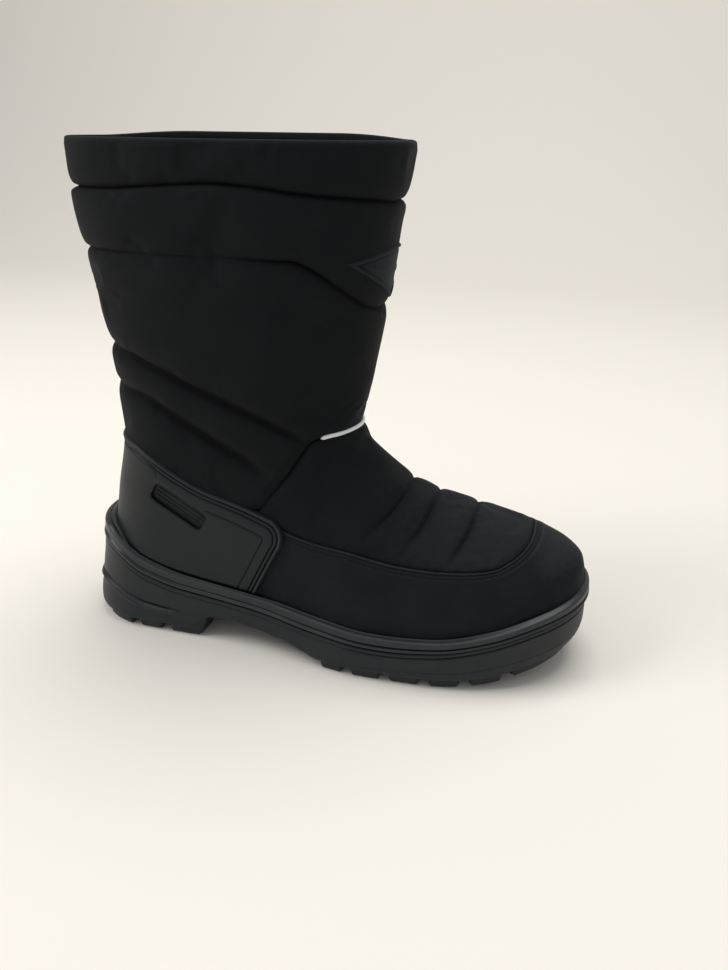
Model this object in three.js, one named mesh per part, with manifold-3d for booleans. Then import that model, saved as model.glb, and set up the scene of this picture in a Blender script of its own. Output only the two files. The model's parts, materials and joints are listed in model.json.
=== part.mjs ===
// Snow boot, right foot: outsole, welt, insole, upper, shaft, heel counter and badge.
// Millimetres, +Z up, toe towards +X, outer (lateral) side towards -Y, standing on z = 0.
import * as THREE from "three";
import { mergeVertices } from "three/addons/utils/BufferGeometryUtils.js";
import Module from "manifold-3d";

const wasm = await Module();
wasm.setup();

// ---------------------------------------------------------------- driving sizes
const SOLE_LENGTH = 305; // rim of the sole, heel to toe
const TOE_TIP = 302.5; // foremost point of the upper
const BALL_WIDTH = 107; // upper across the ball of the foot
const HEEL_WIDTH = 75; // upper across the heel
const SHAFT_WIDTH = 97; // leg across its top
const TOP_HEIGHT = 285.5; // collar above the ground
const FOAM_WALL = 5; // padded, lined wall of upper and shaft
const COUNTER_PROUD = 3; // how far the heel counter stands off the upper
const BADGE_PROUD = 1.9;
const RIM_LEDGE = 4; // welt beyond the upper, on both sides
const INSOLE_THICK = 4.5;
const GAP = 0.3; // clearance between pieces that meet
const SEAM_GAP = 1.5 * GAP; // the same where they meet on a slant
const COUNTER_GAP = 2.5 * GAP; // between the rim and the heel counter above it
const CLEAR = 200; // cutters reach this far past the boot
const CUTTER_BACK = -20; // x at which a side view's cutter starts, behind the heel
const CUTTER_FRONT = SOLE_LENGTH + 15; // and where it ends, ahead of the toe

// ---------------------------------------------------------------- tables
// Sections of the last, from the toe tip, tilting about the instep, to the top of the leg.
// Each runs from a base point (sole, then back of the heel, then back of the leg) to a crown point
// (toe, instep, front of the leg). wide is where along it the section is widest, and full is the
// power of the curve that closes it over the crown.
const SECTIONS = [
  { baseX: 301.5, baseZ: 38, crownX: 302.3, crownZ: 56, wide: 0.4, full: 2.0 },
  { baseX: 299.0, baseZ: 28, crownX: 299.5, crownZ: 64.5, wide: 0.4, full: 2.0 },
  { baseX: 291.0, baseZ: 17, crownX: 291.0, crownZ: 71.5, wide: 0.38, full: 2.05 },
  { baseX: 278.0, baseZ: 11, crownX: 278.0, crownZ: 77, wide: 0.36, full: 2.1 },
  { baseX: 260.0, baseZ: 8, crownX: 260.0, crownZ: 81.8, wide: 0.34, full: 2.15 },
  { baseX: 238.0, baseZ: 8, crownX: 238.0, crownZ: 87.5, wide: 0.33, full: 2.2 },
  { baseX: 217.0, baseZ: 8, crownX: 218.0, crownZ: 93.5, wide: 0.32, full: 2.2 },
  { baseX: 195.0, baseZ: 8, crownX: 200.0, crownZ: 101, wide: 0.32, full: 2.1 },
  { baseX: 168.0, baseZ: 8, crownX: 184.0, crownZ: 114, wide: 0.33, full: 2.0 },
  { baseX: 135.0, baseZ: 8, crownX: 171.5, crownZ: 128, wide: 0.34, full: 1.95 },
  { baseX: 98.0, baseZ: 8, crownX: 167.5, crownZ: 139, wide: 0.37, full: 1.95 },
  { baseX: 58.0, baseZ: 8, crownX: 169.5, crownZ: 150, wide: 0.42, full: 2.0 },
  { baseX: 22.0, baseZ: 12, crownX: 172.0, crownZ: 161, wide: 0.46, full: 2.05 },
  { baseX: 11.0, baseZ: 45, crownX: 174.0, crownZ: 173, wide: 0.48, full: 2.1 },
  { baseX: 17.0, baseZ: 85, crownX: 176.5, crownZ: 186, wide: 0.5, full: 2.15 },
  { baseX: 24.0, baseZ: 122, crownX: 179.5, crownZ: 202, wide: 0.5, full: 2.2 },
  { baseX: 20.6, baseZ: 155, crownX: 182.5, crownZ: 221, wide: 0.5, full: 2.25 },
  { baseX: 16.4, baseZ: 188, crownX: 185.5, crownZ: 240, wide: 0.5, full: 2.3 },
  { baseX: 10.0, baseZ: 222, crownX: 188.5, crownZ: 258, wide: 0.5, full: 2.3 },
  { baseX: 4.6, baseZ: 256, crownX: 191.0, crownZ: 273, wide: 0.5, full: 2.3 },
  { baseX: 3.2, baseZ: 286, crownX: 193.0, crownZ: 286, wide: 0.5, full: 2.3 },
  { baseX: 2.6, baseZ: 300, crownX: 195.0, crownZ: 300, wide: 0.5, full: 2.3 },
];

// Back line of the upper, and how far forward of it the heel or leg reaches its full width.
const BACK = [
  { z: 8, x: 10, reach: 36 },
  { z: 45, x: 11, reach: 37 },
  { z: 85, x: 17, reach: 40 },
  { z: 122, x: 24, reach: 48 },
  { z: 155, x: 20.6, reach: 60 },
  { z: 188, x: 16.4, reach: 72 },
  { z: 222, x: 10, reach: 80 },
  { z: 256, x: 4.6, reach: 86 },
  { z: 300, x: 2.6, reach: 90 },
];

// Half width of the foot at the rim on each side, as a share of half the ball width. The toe and
// the heel close it later.
const PLAN = [
  { x: 0, outer: HEEL_WIDTH / BALL_WIDTH, inner: HEEL_WIDTH / BALL_WIDTH },
  { x: 70, outer: 0.72, inner: 0.71 },
  { x: 110, outer: 0.76, inner: 0.71 },
  { x: 150, outer: 0.885, inner: 0.77 },
  { x: 185, outer: 0.99, inner: 0.88 },
  { x: 215, outer: 1.0, inner: 0.975 },
  { x: 245, outer: 1.0, inner: 1.0 },
  { x: 305, outer: 1.0, inner: 1.0 },
];
const TOE = { outerFrom: 218, innerFrom: 232, power: 2.15, swing: 5, swingFrom: 170 };
const NOSE = { ahead: 0.5, z: 46 }; // the one point that closes the toe, beyond the last section
const HEEL_POWER = 2.1; // roundness of the heel and of the back of the leg, 2 being an ellipse
const UNDERSIDE = { from: 60, to: 30, reach: 8, power: 2.5 }; // rounding of the last's lower edge

// Half width of the leg, as a share of half the top width.
const LEG = [
  { z: 60, width: 0.8 },
  { z: 110, width: 0.85 },
  { z: 150, width: 0.87 },
  { z: 200, width: 0.92 },
  { z: 245, width: 0.98 },
  { z: 300, width: 1.01 },
];
const FOOT_TO_LEG = { from: 55, to: 135 }; // heights over which the foot's width turns into the leg's

// Heights along the sole: top of the rim, main groove, foot-bed floor, and ground line of the lugs.
const HEIGHTS = [
  { x: -8, rim: 66, groove: 52.3, floor: 30, ground: 0 },
  { x: 10, rim: 65, groove: 52, floor: 30, ground: 0 },
  { x: 24, rim: 58, groove: 47.8, floor: 30, ground: 0 },
  { x: 42, rim: 49, groove: 38, floor: 30, ground: 0 },
  { x: 65, rim: 42, groove: 31.5, floor: 29.8, ground: 0 },
  { x: 95, rim: 38, groove: 28.2, floor: 26, ground: 0 },
  { x: 125, rim: 35, groove: 25, floor: 21.5, ground: 0 },
  { x: 160, rim: 31, groove: 21, floor: 17, ground: 0 },
  { x: 195, rim: 29, groove: 20, floor: 16, ground: 0 },
  { x: 225, rim: 30.5, groove: 22.5, floor: 17.5, ground: 0 },
  { x: 255, rim: 36.5, groove: 28.8, floor: 21, ground: 2.5 },
  { x: 282, rim: 44.5, groove: 36.4, floor: 25.5, ground: 8.5 },
  { x: 306, rim: 50.5, groove: 41.5, floor: 29, ground: 15 },
];

// Rings of the sole's side from the tread up: where each ends at heel and toe, how far it stands
// out from the rim's plan, and its height between two of the heights above.
const OUTSOLE_RINGS = [
  { heel: -3, toe: 297, grow: -1.5, from: "ground", to: "groove", share: 0 },
  { heel: -6.2, toe: 302, grow: 1.2, from: "ground", to: "groove", share: 0.16 },
  { heel: -3.5, toe: 304.5, grow: 0.6, from: "ground", to: "groove", share: 0.5 },
  { heel: 0.7, toe: 304.5, grow: 0, from: "ground", to: "groove", share: 1 },
];
const WELT_RINGS = [
  { heel: 1.2, toe: 304.5, grow: 0, from: "groove", to: "rim", share: 0, lift: 1.3 * GAP },
  { heel: 1.8, toe: 305.3, grow: 0.9, from: "groove", to: "rim", share: 0.35, lift: 0 },
  { heel: 2.6, toe: 305, grow: 0.5, from: "groove", to: "rim", share: 0.8, lift: 0 },
  { heel: 5.5, toe: 303, grow: -1.6, from: "groove", to: "rim", share: 1, lift: 0 },
];

// Side views of the places where pieces part.
const ANKLE_SEAM = [
  { x: CUTTER_FRONT, z: 134 },
  { x: 160, z: 134 },
  { x: 149.5, z: 132.5 },
  { x: 134.5, z: 111.5 },
  { x: 117.5, z: 89.5 },
  { x: 104.5, z: 86 },
  { x: 81.5, z: 92.5 },
  { x: 58.8, z: 104 },
  { x: 21.7, z: 114 },
  { x: CUTTER_BACK, z: 118 },
];
const COUNTER_EDGE = [
  { x: CUTTER_BACK, z: 122.5 },
  { x: 24, z: 122 },
  { x: 42, z: 121 },
  { x: 58.8, z: 114 },
  { x: 81.5, z: 102.2 },
  { x: 104.5, z: 94 },
  { x: 125, z: 87 },
  { x: 133, z: 82.5 },
  { x: 136, z: 76 },
  { x: 133.5, z: 67 },
  { x: 116.5, z: 35 },
  { x: 100, z: 0 },
  { x: CUTTER_BACK, z: 0 },
];
const BADGE = { halfHeight: 14.5, z: 222, sideLift: 7, y: 2 };
const BADGE_EDGE = [
  { across: 0, half: 1 },
  { across: 10, half: 0.77 },
  { across: 20, half: 0.52 },
  { across: 28, half: 0.25 },
  { across: 34, half: 0 },
];

// Tread: the arch seen from the side, and the channels between lugs.
const ARCH = [
  { x: 78, z: 0 },
  { x: 94, z: 17.5 },
  { x: 106, z: 17 },
  { x: 125, z: 13.5 },
  { x: 145, z: 8.8 },
  { x: 156, z: 7 },
  { x: 158, z: 0 },
];
const CHANNEL = { width: 4.6, reach: 24, depth: 5.2 };
const HEEL_GAPS = [2.5, 33, 54]; // x of each channel through the heel's edge
const SOLE_GAPS = Array.from({ length: 5 }, (_, i) => 174.5 + 23 * i);
const CENTRE_CHANNEL = 5; // width of the channel between the edge lugs and the middle bars
const EDGE_LUG = 20; // edge lugs reach this far in

const RINGS = 41; // sections made from the table
const HALF_RING = 15; // steps from base to crown
const OUTLINE_STEPS = 28; // steps along each side of a sole ring
const HEIGHT_STEPS = 40; // steps along a cut that follows one of the heights

// ---------------------------------------------------------------- small functions
const clamp = (v, low, high) => Math.min(high, Math.max(low, v));
const mix = (a, b, t) => a + (b - a) * t;

function smooth(v, from, to) {
  const t = clamp((v - from) / (to - from), 0, 1);
  return t * t * (3 - 2 * t);
}

// A quarter of a superellipse: 0 at u = 0, 1 from u = 1 on.
function closing(u, power = 2) {
  const v = 1 - clamp(u, 0, 1);
  return Math.pow(1 - Math.pow(v, power), 1 / power);
}

// The value of a table's column at a place between its rows, on a smooth curve through them that
// never passes beyond a row's own value.
function read(rows, key, column, at) {
  const last = rows.length - 1;
  let i = 0;
  while (i < last - 1 && at > rows[i + 1][key]) i += 1;
  const rise = (k) => (rows[k + 1][column] - rows[k][column]) / (rows[k + 1][key] - rows[k][key]);
  const slope = (k) => {
    if (k === 0 || k === last) return rise(Math.min(k, last - 1));
    const before = rise(k - 1);
    const after = rise(k);
    return before * after <= 0 ? 0 : (2 * before * after) / (before + after);
  };
  const p = rows[i];
  const q = rows[i + 1];
  const step = q[key] - p[key];
  const t = clamp((at - p[key]) / step, 0, 1);
  const t2 = t * t;
  const t3 = t2 * t;
  return (
    (2 * t3 - 3 * t2 + 1) * p[column] +
    (t3 - 2 * t2 + t) * step * slope(i) +
    (3 * t2 - 2 * t3) * q[column] +
    (t3 - t2) * step * slope(i + 1)
  );
}

const SECTION_ROWS = SECTIONS.map((row, s) => ({ s, ...row }));
const section = (s, column) => read(SECTION_ROWS, "s", column, s);
const height = (x, column) => read(HEIGHTS, "x", column, x);

// ---------------------------------------------------------------- the last
// Middle line of the foot seen from above: the toe swings inwards.
const middle = (x) => TOE.swing * smooth(x, TOE.swingFrom, TOE_TIP);

// Half width of the foot at rim height.
function footWidth(x, side) {
  const from = side === "outer" ? TOE.outerFrom : TOE.innerFrom;
  const toe = closing((TOE_TIP - x) / (TOE_TIP - from), TOE.power);
  return (BALL_WIDTH / 2) * read(PLAN, "x", side, x) * toe;
}

// Half width of the last at a place on a section.
function halfWidth(x, z, along, s, side) {
  const leg = (SHAFT_WIDTH / 2) * read(LEG, "z", "width", z);
  const wall = mix(footWidth(x, side), leg, smooth(z, FOOT_TO_LEG.from, FOOT_TO_LEG.to));
  const back = closing((x - read(BACK, "z", "x", z)) / read(BACK, "z", "reach", z), HEEL_POWER);
  const wide = section(s, "wide");
  const crown = closing((1 - along) / (1 - wide), section(s, "full"));
  return wall * back * Math.min(1, crown);
}

// One ring of the last: base point, inner side up, crown point, outer side down.
function lastRing(s) {
  const base = new THREE.Vector2(section(s, "baseX"), section(s, "baseZ"));
  const crown = new THREE.Vector2(section(s, "crownX"), section(s, "crownZ"));
  // The sole end of a section is rounded, the leg's is not.
  const underside = smooth(base.y, UNDERSIDE.from, UNDERSIDE.to);
  const length = base.distanceTo(crown);
  const ring = [];
  for (let k = 0; k < 2 * HALF_RING; k += 1) {
    const side = k <= HALF_RING ? "inner" : "outer";
    const along = (1 - Math.cos((Math.PI * k) / HALF_RING)) / 2;
    const x = mix(base.x, crown.x, along);
    const z = mix(base.y, crown.y, along);
    const rounded = closing((along * length) / UNDERSIDE.reach, UNDERSIDE.power);
    const bottom = mix(1, rounded, underside);
    const w = halfWidth(x, z, along, s, side) * bottom;
    ring.push(new THREE.Vector3(x, middle(x) + (side === "inner" ? w : -w), z));
  }
  return ring;
}

// ---------------------------------------------------------------- meshes and solids
// Joins rings of equal length into a closed surface. The first end closes on a pole or a strip of
// quads across the ring, the last end on a strip.
function loft(rings, pole = null) {
  const count = rings[0].length;
  const half = count / 2;
  const points = rings.flat();
  const walls = [];
  for (let i = 0; i < rings.length - 1; i += 1)
    for (let k = 0; k < count; k += 1) {
      const a = i * count + k;
      const b = i * count + ((k + 1) % count);
      walls.push(a, a + count, b, b, a + count, b + count);
    }
  const ends = [];
  const strip = (first, facing) => {
    for (let k = 0; k < half; k += 1) {
      const [a, b] = [first + k, first + k + 1];
      const [c, d] = [first + count - k - 1, first + ((count - k) % count)];
      const near = b === c ? [] : [a, b, c];
      const far = a === d ? [] : [a, c, d];
      const faces = b === c ? [a, b, d] : [...near, ...far];
      for (let n = 0; n < faces.length; n += 3)
        ends.push(faces[n], faces[n + (facing < 0 ? 1 : 2)], faces[n + (facing < 0 ? 2 : 1)]);
    }
  };
  if (pole) {
    points.push(pole);
    for (let k = 0; k < count; k += 1) walls.push(points.length - 1, k, (k + 1) % count);
  } else strip(0, -1);
  strip((rings.length - 1) * count, 1);
  return { points, walls, ends };
}

function solidOf(points, index) {
  const flat = new Float32Array(points.flatMap((p) => [p.x, p.y, p.z]));
  return new wasm.Manifold(
    new wasm.Mesh({ numProp: 3, vertProperties: flat, triVerts: new Uint32Array(index) }),
  );
}

function solidOfGeometry(geometry) {
  const bare = geometry.clone();
  bare.deleteAttribute("normal");
  bare.deleteAttribute("uv");
  const merged = mergeVertices(bare, 1e-4);
  return new wasm.Manifold(
    new wasm.Mesh({
      numProp: 3,
      vertProperties: merged.attributes.position.array,
      triVerts: new Uint32Array(merged.index.array),
    }),
  );
}

// The last grown outwards by an offset, or shrunk by a negative one, along its own normals.
const LAST = loft(
  Array.from({ length: RINGS }, (_, i) => lastRing((i * (SECTIONS.length - 1)) / (RINGS - 1))),
  new THREE.Vector3(TOE_TIP + NOSE.ahead, middle(TOE_TIP), NOSE.z),
);
const LAST_SKIN = new THREE.BufferGeometry().setFromPoints(LAST.points).setIndex(LAST.walls);
LAST_SKIN.computeVertexNormals();

function last(offset) {
  const normals = LAST_SKIN.attributes.normal;
  const moved = LAST.points.map((p, i) =>
    new THREE.Vector3().fromBufferAttribute(normals, i).multiplyScalar(offset).add(p),
  );
  return solidOf(moved, [...LAST.walls, ...LAST.ends]);
}

// A prism of a side view (x, z), right across the boot.
function across(outline) {
  const shape = new THREE.Shape(outline.map((p) => new THREE.Vector2(p.x, p.z)));
  const prism = new THREE.ExtrudeGeometry(shape, { depth: 2 * CLEAR, bevelEnabled: false });
  const sideways = new THREE.Matrix4().makeBasis(
    new THREE.Vector3(1, 0, 0),
    new THREE.Vector3(0, 0, 1),
    new THREE.Vector3(0, -1, 0),
  );
  return solidOfGeometry(prism.applyMatrix4(sideways).translate(0, CLEAR, 0));
}

// Everything above one of the heights along the sole.
function above(column, lift = 0) {
  const [first, last] = [HEIGHTS[0].x, HEIGHTS.at(-1).x];
  const edge = Array.from({ length: HEIGHT_STEPS + 1 }, (_, i) => {
    const x = mix(CUTTER_BACK, CUTTER_FRONT, i / HEIGHT_STEPS);
    return { x, z: height(clamp(x, first, last), column) + lift };
  });
  const top = TOP_HEIGHT + CLEAR;
  return across([...edge, { x: CUTTER_FRONT, z: top }, { x: CUTTER_BACK, z: top }]);
}

// One ring of the sole's side: the rim's plan, scaled to run from one heel point to one toe point.
function soleRing({ heel, toe, grow, from, to, share, lift = 0 }, heightAt = null) {
  const ring = [];
  for (let k = 0; k < 2 * OUTLINE_STEPS; k += 1) {
    const side = k <= OUTLINE_STEPS ? "inner" : "outer";
    const along = (1 - Math.cos((Math.PI * k) / OUTLINE_STEPS)) / 2;
    const x = mix(heel, toe, along);
    const plan = soleWidth(mix(0, SOLE_LENGTH, along), side);
    const w = plan * (1 + grow / (BALL_WIDTH / 2));
    const z = heightAt ? heightAt(x) : mix(height(x, from), height(x, to), share) + lift;
    ring.push(new THREE.Vector3(x, middle(x) + (side === "inner" ? w : -w), z));
  }
  return ring;
}

function soleWidth(x, side) {
  const toe = closing((SOLE_LENGTH - x) / (SOLE_LENGTH - TOE[side + "From"]), TOE.power);
  const heel = closing(x / (HEEL_WIDTH / 2 + RIM_LEDGE), HEEL_POWER);
  return ((BALL_WIDTH / 2) * read(PLAN, "x", side, x) + RIM_LEDGE) * toe * heel;
}

function loftSolid(rings) {
  const { points, walls, ends } = loft(rings);
  return solidOf(points, [...walls, ...ends]);
}

// ---------------------------------------------------------------- sole
// A channel cut into the tread at one place on its edge, square to the edge.
function edgeChannel(x, side) {
  const sign = side === "inner" ? 1 : -1;
  const edge = (at) => middle(at) + sign * soleWidth(at, side);
  const turn = Math.atan2(edge(x + 1) - edge(x - 1), 2);
  const box = new THREE.BoxGeometry(CHANNEL.width, 2 * CHANNEL.reach, 2 * CHANNEL.depth);
  box.rotateZ(turn).translate(x, edge(x), height(x, "ground"));
  return solidOfGeometry(box);
}

// The channel that runs round inside the edge lugs.
function ringChannel() {
  const island = (inset, top) => {
    const row = { heel: inset, toe: SOLE_LENGTH - inset, grow: -inset };
    return loftSolid([-CLEAR, top].map((z) => soleRing(row, (x) => height(x, "ground") + z)));
  };
  return island(EDGE_LUG, CHANNEL.depth).subtract(island(EDGE_LUG + CENTRE_CHANNEL, CLEAR));
}

function centreChannel(x) {
  const box = new THREE.BoxGeometry(CENTRE_CHANNEL, BALL_WIDTH / 2, 2 * CHANNEL.depth);
  return solidOfGeometry(box.translate(x, middle(x), height(x, "ground")));
}

function makeOutsole() {
  const underArch = [
    { x: ARCH.at(-1).x, z: -CLEAR },
    { x: ARCH[0].x, z: -CLEAR },
  ];
  const edges = [...HEEL_GAPS, ...SOLE_GAPS];
  const cuts = [
    last(GAP).intersect(above("floor")),
    ringChannel(),
    ...edges.flatMap((x) => [edgeChannel(x, "outer"), edgeChannel(x, "inner")]),
    ...[...HEEL_GAPS.slice(1), ...SOLE_GAPS].map(centreChannel),
    across([...ARCH, ...underArch]),
  ];
  const block = loftSolid(OUTSOLE_RINGS.map((row) => soleRing(row)));
  return cuts.reduce((sole, cut) => sole.subtract(cut), block);
}

function makeWelt() {
  return loftSolid(WELT_RINGS.map((row) => soleRing(row))).subtract(last(GAP));
}

function makeInsole() {
  const inside = last(-FOAM_WALL - 2 * GAP);
  return inside.intersect(above("floor", GAP)).subtract(above("floor", GAP + INSOLE_THICK));
}

// ---------------------------------------------------------------- upper and leg
const legSide = (lift) =>
  across([
    ...ANKLE_SEAM.map((p) => ({ x: p.x, z: p.z + lift })),
    { x: CUTTER_BACK, z: TOP_HEIGHT + CLEAR },
    { x: CUTTER_FRONT, z: TOP_HEIGHT + CLEAR },
  ]);
const overTop = across([
  { x: CUTTER_BACK, z: TOP_HEIGHT },
  { x: CUTTER_FRONT, z: TOP_HEIGHT },
  { x: CUTTER_FRONT, z: TOP_HEIGHT + CLEAR },
  { x: CUTTER_BACK, z: TOP_HEIGHT + CLEAR },
]);
const shell = last(0)
  .subtract(last(-FOAM_WALL))
  .subtract(overTop)
  .intersect(above("floor", GAP));

const makeUpper = () => shell.subtract(legSide(-SEAM_GAP));
const makeShaft = () => shell.intersect(legSide(0));

function makeCounter() {
  const skin = last(GAP + COUNTER_PROUD).subtract(last(GAP));
  return skin.intersect(across(COUNTER_EDGE)).intersect(above("rim", COUNTER_GAP));
}

function makeBadge() {
  const reach = BADGE_EDGE.at(-1).across;
  const corner = (row, side, up) => {
    const middleZ = BADGE.z + BADGE.sideLift * (row.across / reach);
    return new THREE.Vector2(BADGE.y + side * row.across, middleZ + up * row.half * BADGE.halfHeight);
  };
  const outline = [
    ...BADGE_EDGE.map((row) => corner(row, 1, 1)),
    ...BADGE_EDGE.slice(0, -1).reverse().map((row) => corner(row, 1, -1)),
    ...BADGE_EDGE.slice(1).map((row) => corner(row, -1, -1)),
    ...BADGE_EDGE.slice(1, -1).reverse().map((row) => corner(row, -1, 1)),
  ];
  const shape = new THREE.Shape(outline);
  const prism = new THREE.ExtrudeGeometry(shape, { depth: CLEAR, bevelEnabled: false });
  const forwards = new THREE.Matrix4().makeBasis(
    new THREE.Vector3(0, 1, 0),
    new THREE.Vector3(0, 0, 1),
    new THREE.Vector3(1, 0, 0),
  );
  const front = solidOfGeometry(prism.applyMatrix4(forwards).translate(SOLE_LENGTH / 2, 0, 0));
  return last(GAP + BADGE_PROUD).subtract(last(GAP)).intersect(front);
}

// ---------------------------------------------------------------- the boot
const RUBBER = { color: 0x2b2d30, roughness: 0.55, metalness: 0 };
const TEXTILE = { color: 0x17181b, roughness: 0.9, metalness: 0 };
const FOOTBED = { color: 0x3a3b3f, roughness: 0.95, metalness: 0 };

function piece(name, solid, finish) {
  const { vertProperties, triVerts } = solid.getMesh();
  const geometry = new THREE.BufferGeometry()
    .setAttribute("position", new THREE.BufferAttribute(vertProperties, 3))
    .setIndex(new THREE.BufferAttribute(triVerts, 1));
  geometry.computeVertexNormals();
  const mesh = new THREE.Mesh(geometry, new THREE.MeshStandardMaterial(finish));
  mesh.name = name;
  return mesh;
}

const boot = new THREE.Group();
boot.add(
  piece("outsole", makeOutsole(), RUBBER),
  piece("welt", makeWelt(), RUBBER),
  piece("insole", makeInsole(), FOOTBED),
  piece("upper", makeUpper(), TEXTILE),
  piece("shaft", makeShaft(), TEXTILE),
  piece("heel_counter", makeCounter(), RUBBER),
  piece("badge", makeBadge(), RUBBER),
);

// The origin is on the ground under the middle of the boot's box.
const box = new THREE.Box3().setFromObject(boot, true);
const centre = box.getCenter(new THREE.Vector3());
boot.position.set(-centre.x, -centre.y, -box.min.z);

export default boot;
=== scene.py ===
# %% [markdown]
# # A padded snow boot, right foot
# The boot is a rubber sole unit with a moulded rim, a soft padded leg and vamp, a smooth
# guard round the toe, a rubber cup round the heel and a small rubber badge on the shin.
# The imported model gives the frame: its pieces are the sizes and places that everything
# here is fitted to, so it is loaded first and its box is kept.
# %% Load the frame
import json
import math

import bmesh
import bpy
import numpy as np
from mathutils import Matrix, Vector

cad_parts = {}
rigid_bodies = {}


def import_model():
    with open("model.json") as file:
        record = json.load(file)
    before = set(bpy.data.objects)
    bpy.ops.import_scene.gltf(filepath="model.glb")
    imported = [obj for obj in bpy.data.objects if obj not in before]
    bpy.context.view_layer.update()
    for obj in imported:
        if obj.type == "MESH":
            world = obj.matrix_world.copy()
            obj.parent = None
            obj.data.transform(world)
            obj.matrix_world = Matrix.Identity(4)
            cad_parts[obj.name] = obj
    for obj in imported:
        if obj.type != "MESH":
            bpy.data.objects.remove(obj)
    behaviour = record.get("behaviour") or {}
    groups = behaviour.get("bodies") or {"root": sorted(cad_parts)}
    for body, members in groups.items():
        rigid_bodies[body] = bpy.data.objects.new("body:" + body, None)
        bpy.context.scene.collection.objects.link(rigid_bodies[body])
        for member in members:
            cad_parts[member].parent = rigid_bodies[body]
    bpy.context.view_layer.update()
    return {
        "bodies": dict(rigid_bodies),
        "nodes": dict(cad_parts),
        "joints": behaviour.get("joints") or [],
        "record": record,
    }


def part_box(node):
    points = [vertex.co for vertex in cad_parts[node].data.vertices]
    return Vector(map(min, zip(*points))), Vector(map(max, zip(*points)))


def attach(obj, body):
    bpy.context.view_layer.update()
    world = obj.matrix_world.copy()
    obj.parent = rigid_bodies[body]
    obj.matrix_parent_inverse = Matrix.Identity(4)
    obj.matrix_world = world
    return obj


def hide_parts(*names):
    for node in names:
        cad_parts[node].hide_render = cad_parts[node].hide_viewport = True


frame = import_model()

print("frame:", sorted(frame["nodes"]))

# %% [markdown]
# ## Sizes
# A shoemaker works from a last, and a last is drawn in millimetres: x runs from the heel
# to the toe, z up from the ground, and y across, with the inner side of the foot at +y.
# The tables below hold a row for each place that was measured, and a smooth curve is read
# between the rows. The curve never passes beyond a row's own value, so no bulge appears
# that no row asked for.
# %% Tables and curves
MM = 0.001


def table(columns, *rows):
    """A short table of sizes, as one array for each named column."""
    return {name: np.array([row[i] for row in rows], float) for i, name in enumerate(columns.split())}


def mix(a, b, t):
    return a + (b - a) * t


def smooth(value, start, end):
    """0 before start, 1 after end, and an S between."""
    t = np.clip((value - start) / (end - start), 0, 1)
    return t * t * (3 - 2 * t)


def closing(u, power=2.0):
    """A quarter of a superellipse: 0 at u = 0, 1 from u = 1 on."""
    return (1 - (1 - np.clip(u, 0, 1)) ** power) ** (1 / power)


def hollow(distance, width):
    """A soft trough: 1 on the line, 0 well beside it."""
    return np.exp(-((distance / width) ** 2))


def both(half, outer=lambda values: values):
    """A grid over the boot's inner half, carried on over its outer half."""
    return np.concatenate([half, outer(half[:, -2::-1])], 1)


def search(short, low, high, rounds=36):
    """Where a test that holds from low on stops holding before high, by halving."""
    for _ in range(rounds):
        at = (low + high) / 2
        still = short(at)
        low, high = np.where(still, at, low), np.where(still, high, at)
    return at


def read(rows, key, column, at):
    """A table's column at a place between its rows."""
    x, y = rows[key], rows[column]
    rise = np.diff(y) / np.diff(x)
    before, after = rise[:-1], rise[1:]
    total = np.where(before + after == 0, 1, before + after)
    inner = np.where(before * after <= 0, 0, 2 * before * after / total)
    slope = np.concatenate([rise[:1], inner, rise[-1:]])
    at = np.clip(at, x[0], x[-1])
    i = np.clip(np.searchsorted(x, at, side="right") - 1, 0, len(x) - 2)
    step = x[i + 1] - x[i]
    t = (at - x[i]) / step
    t2, t3 = t * t, t * t * t
    return (
        (2 * t3 - 3 * t2 + 1) * y[i]
        + (t3 - 2 * t2 + t) * step * slope[i]
        + (3 * t2 - 2 * t3) * y[i + 1]
        + (t3 - t2) * step * slope[i + 1]
    )


print("closing over a quarter of the way:", round(float(closing(0.25)), 3))

# %% [markdown]
# ## The last
# The upper and the leg are one continuous form, cut by a fan of sections: upright slices
# through the toe, slices that lean more and more over the instep, and level slices up the
# leg. Each runs from a base point (sole, then heel, then calf) to a crown point (toe,
# instep, then shin). A place on the form is then two numbers: which section, and how far
# round it. `turn` goes 0 at the base, through the inner side to 0.5 at the crown, and back
# down the outer side to 1. Lofting from two numbers makes seams easy to follow, which
# sculpting or a subdivision cage would not.
# %% The last's tables
SOLE_LENGTH = 305.0
TOE_TIP = 302.5
BALL_WIDTH = 107.0
HEEL_WIDTH = 75.0
SHAFT_WIDTH = 97.0
RIM_LEDGE = 4.0  # how far the sole stands out round the upper
HEEL_SECTION = 13  # from this section on, the base point is on the back line
LAST_SECTION = 21

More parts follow.
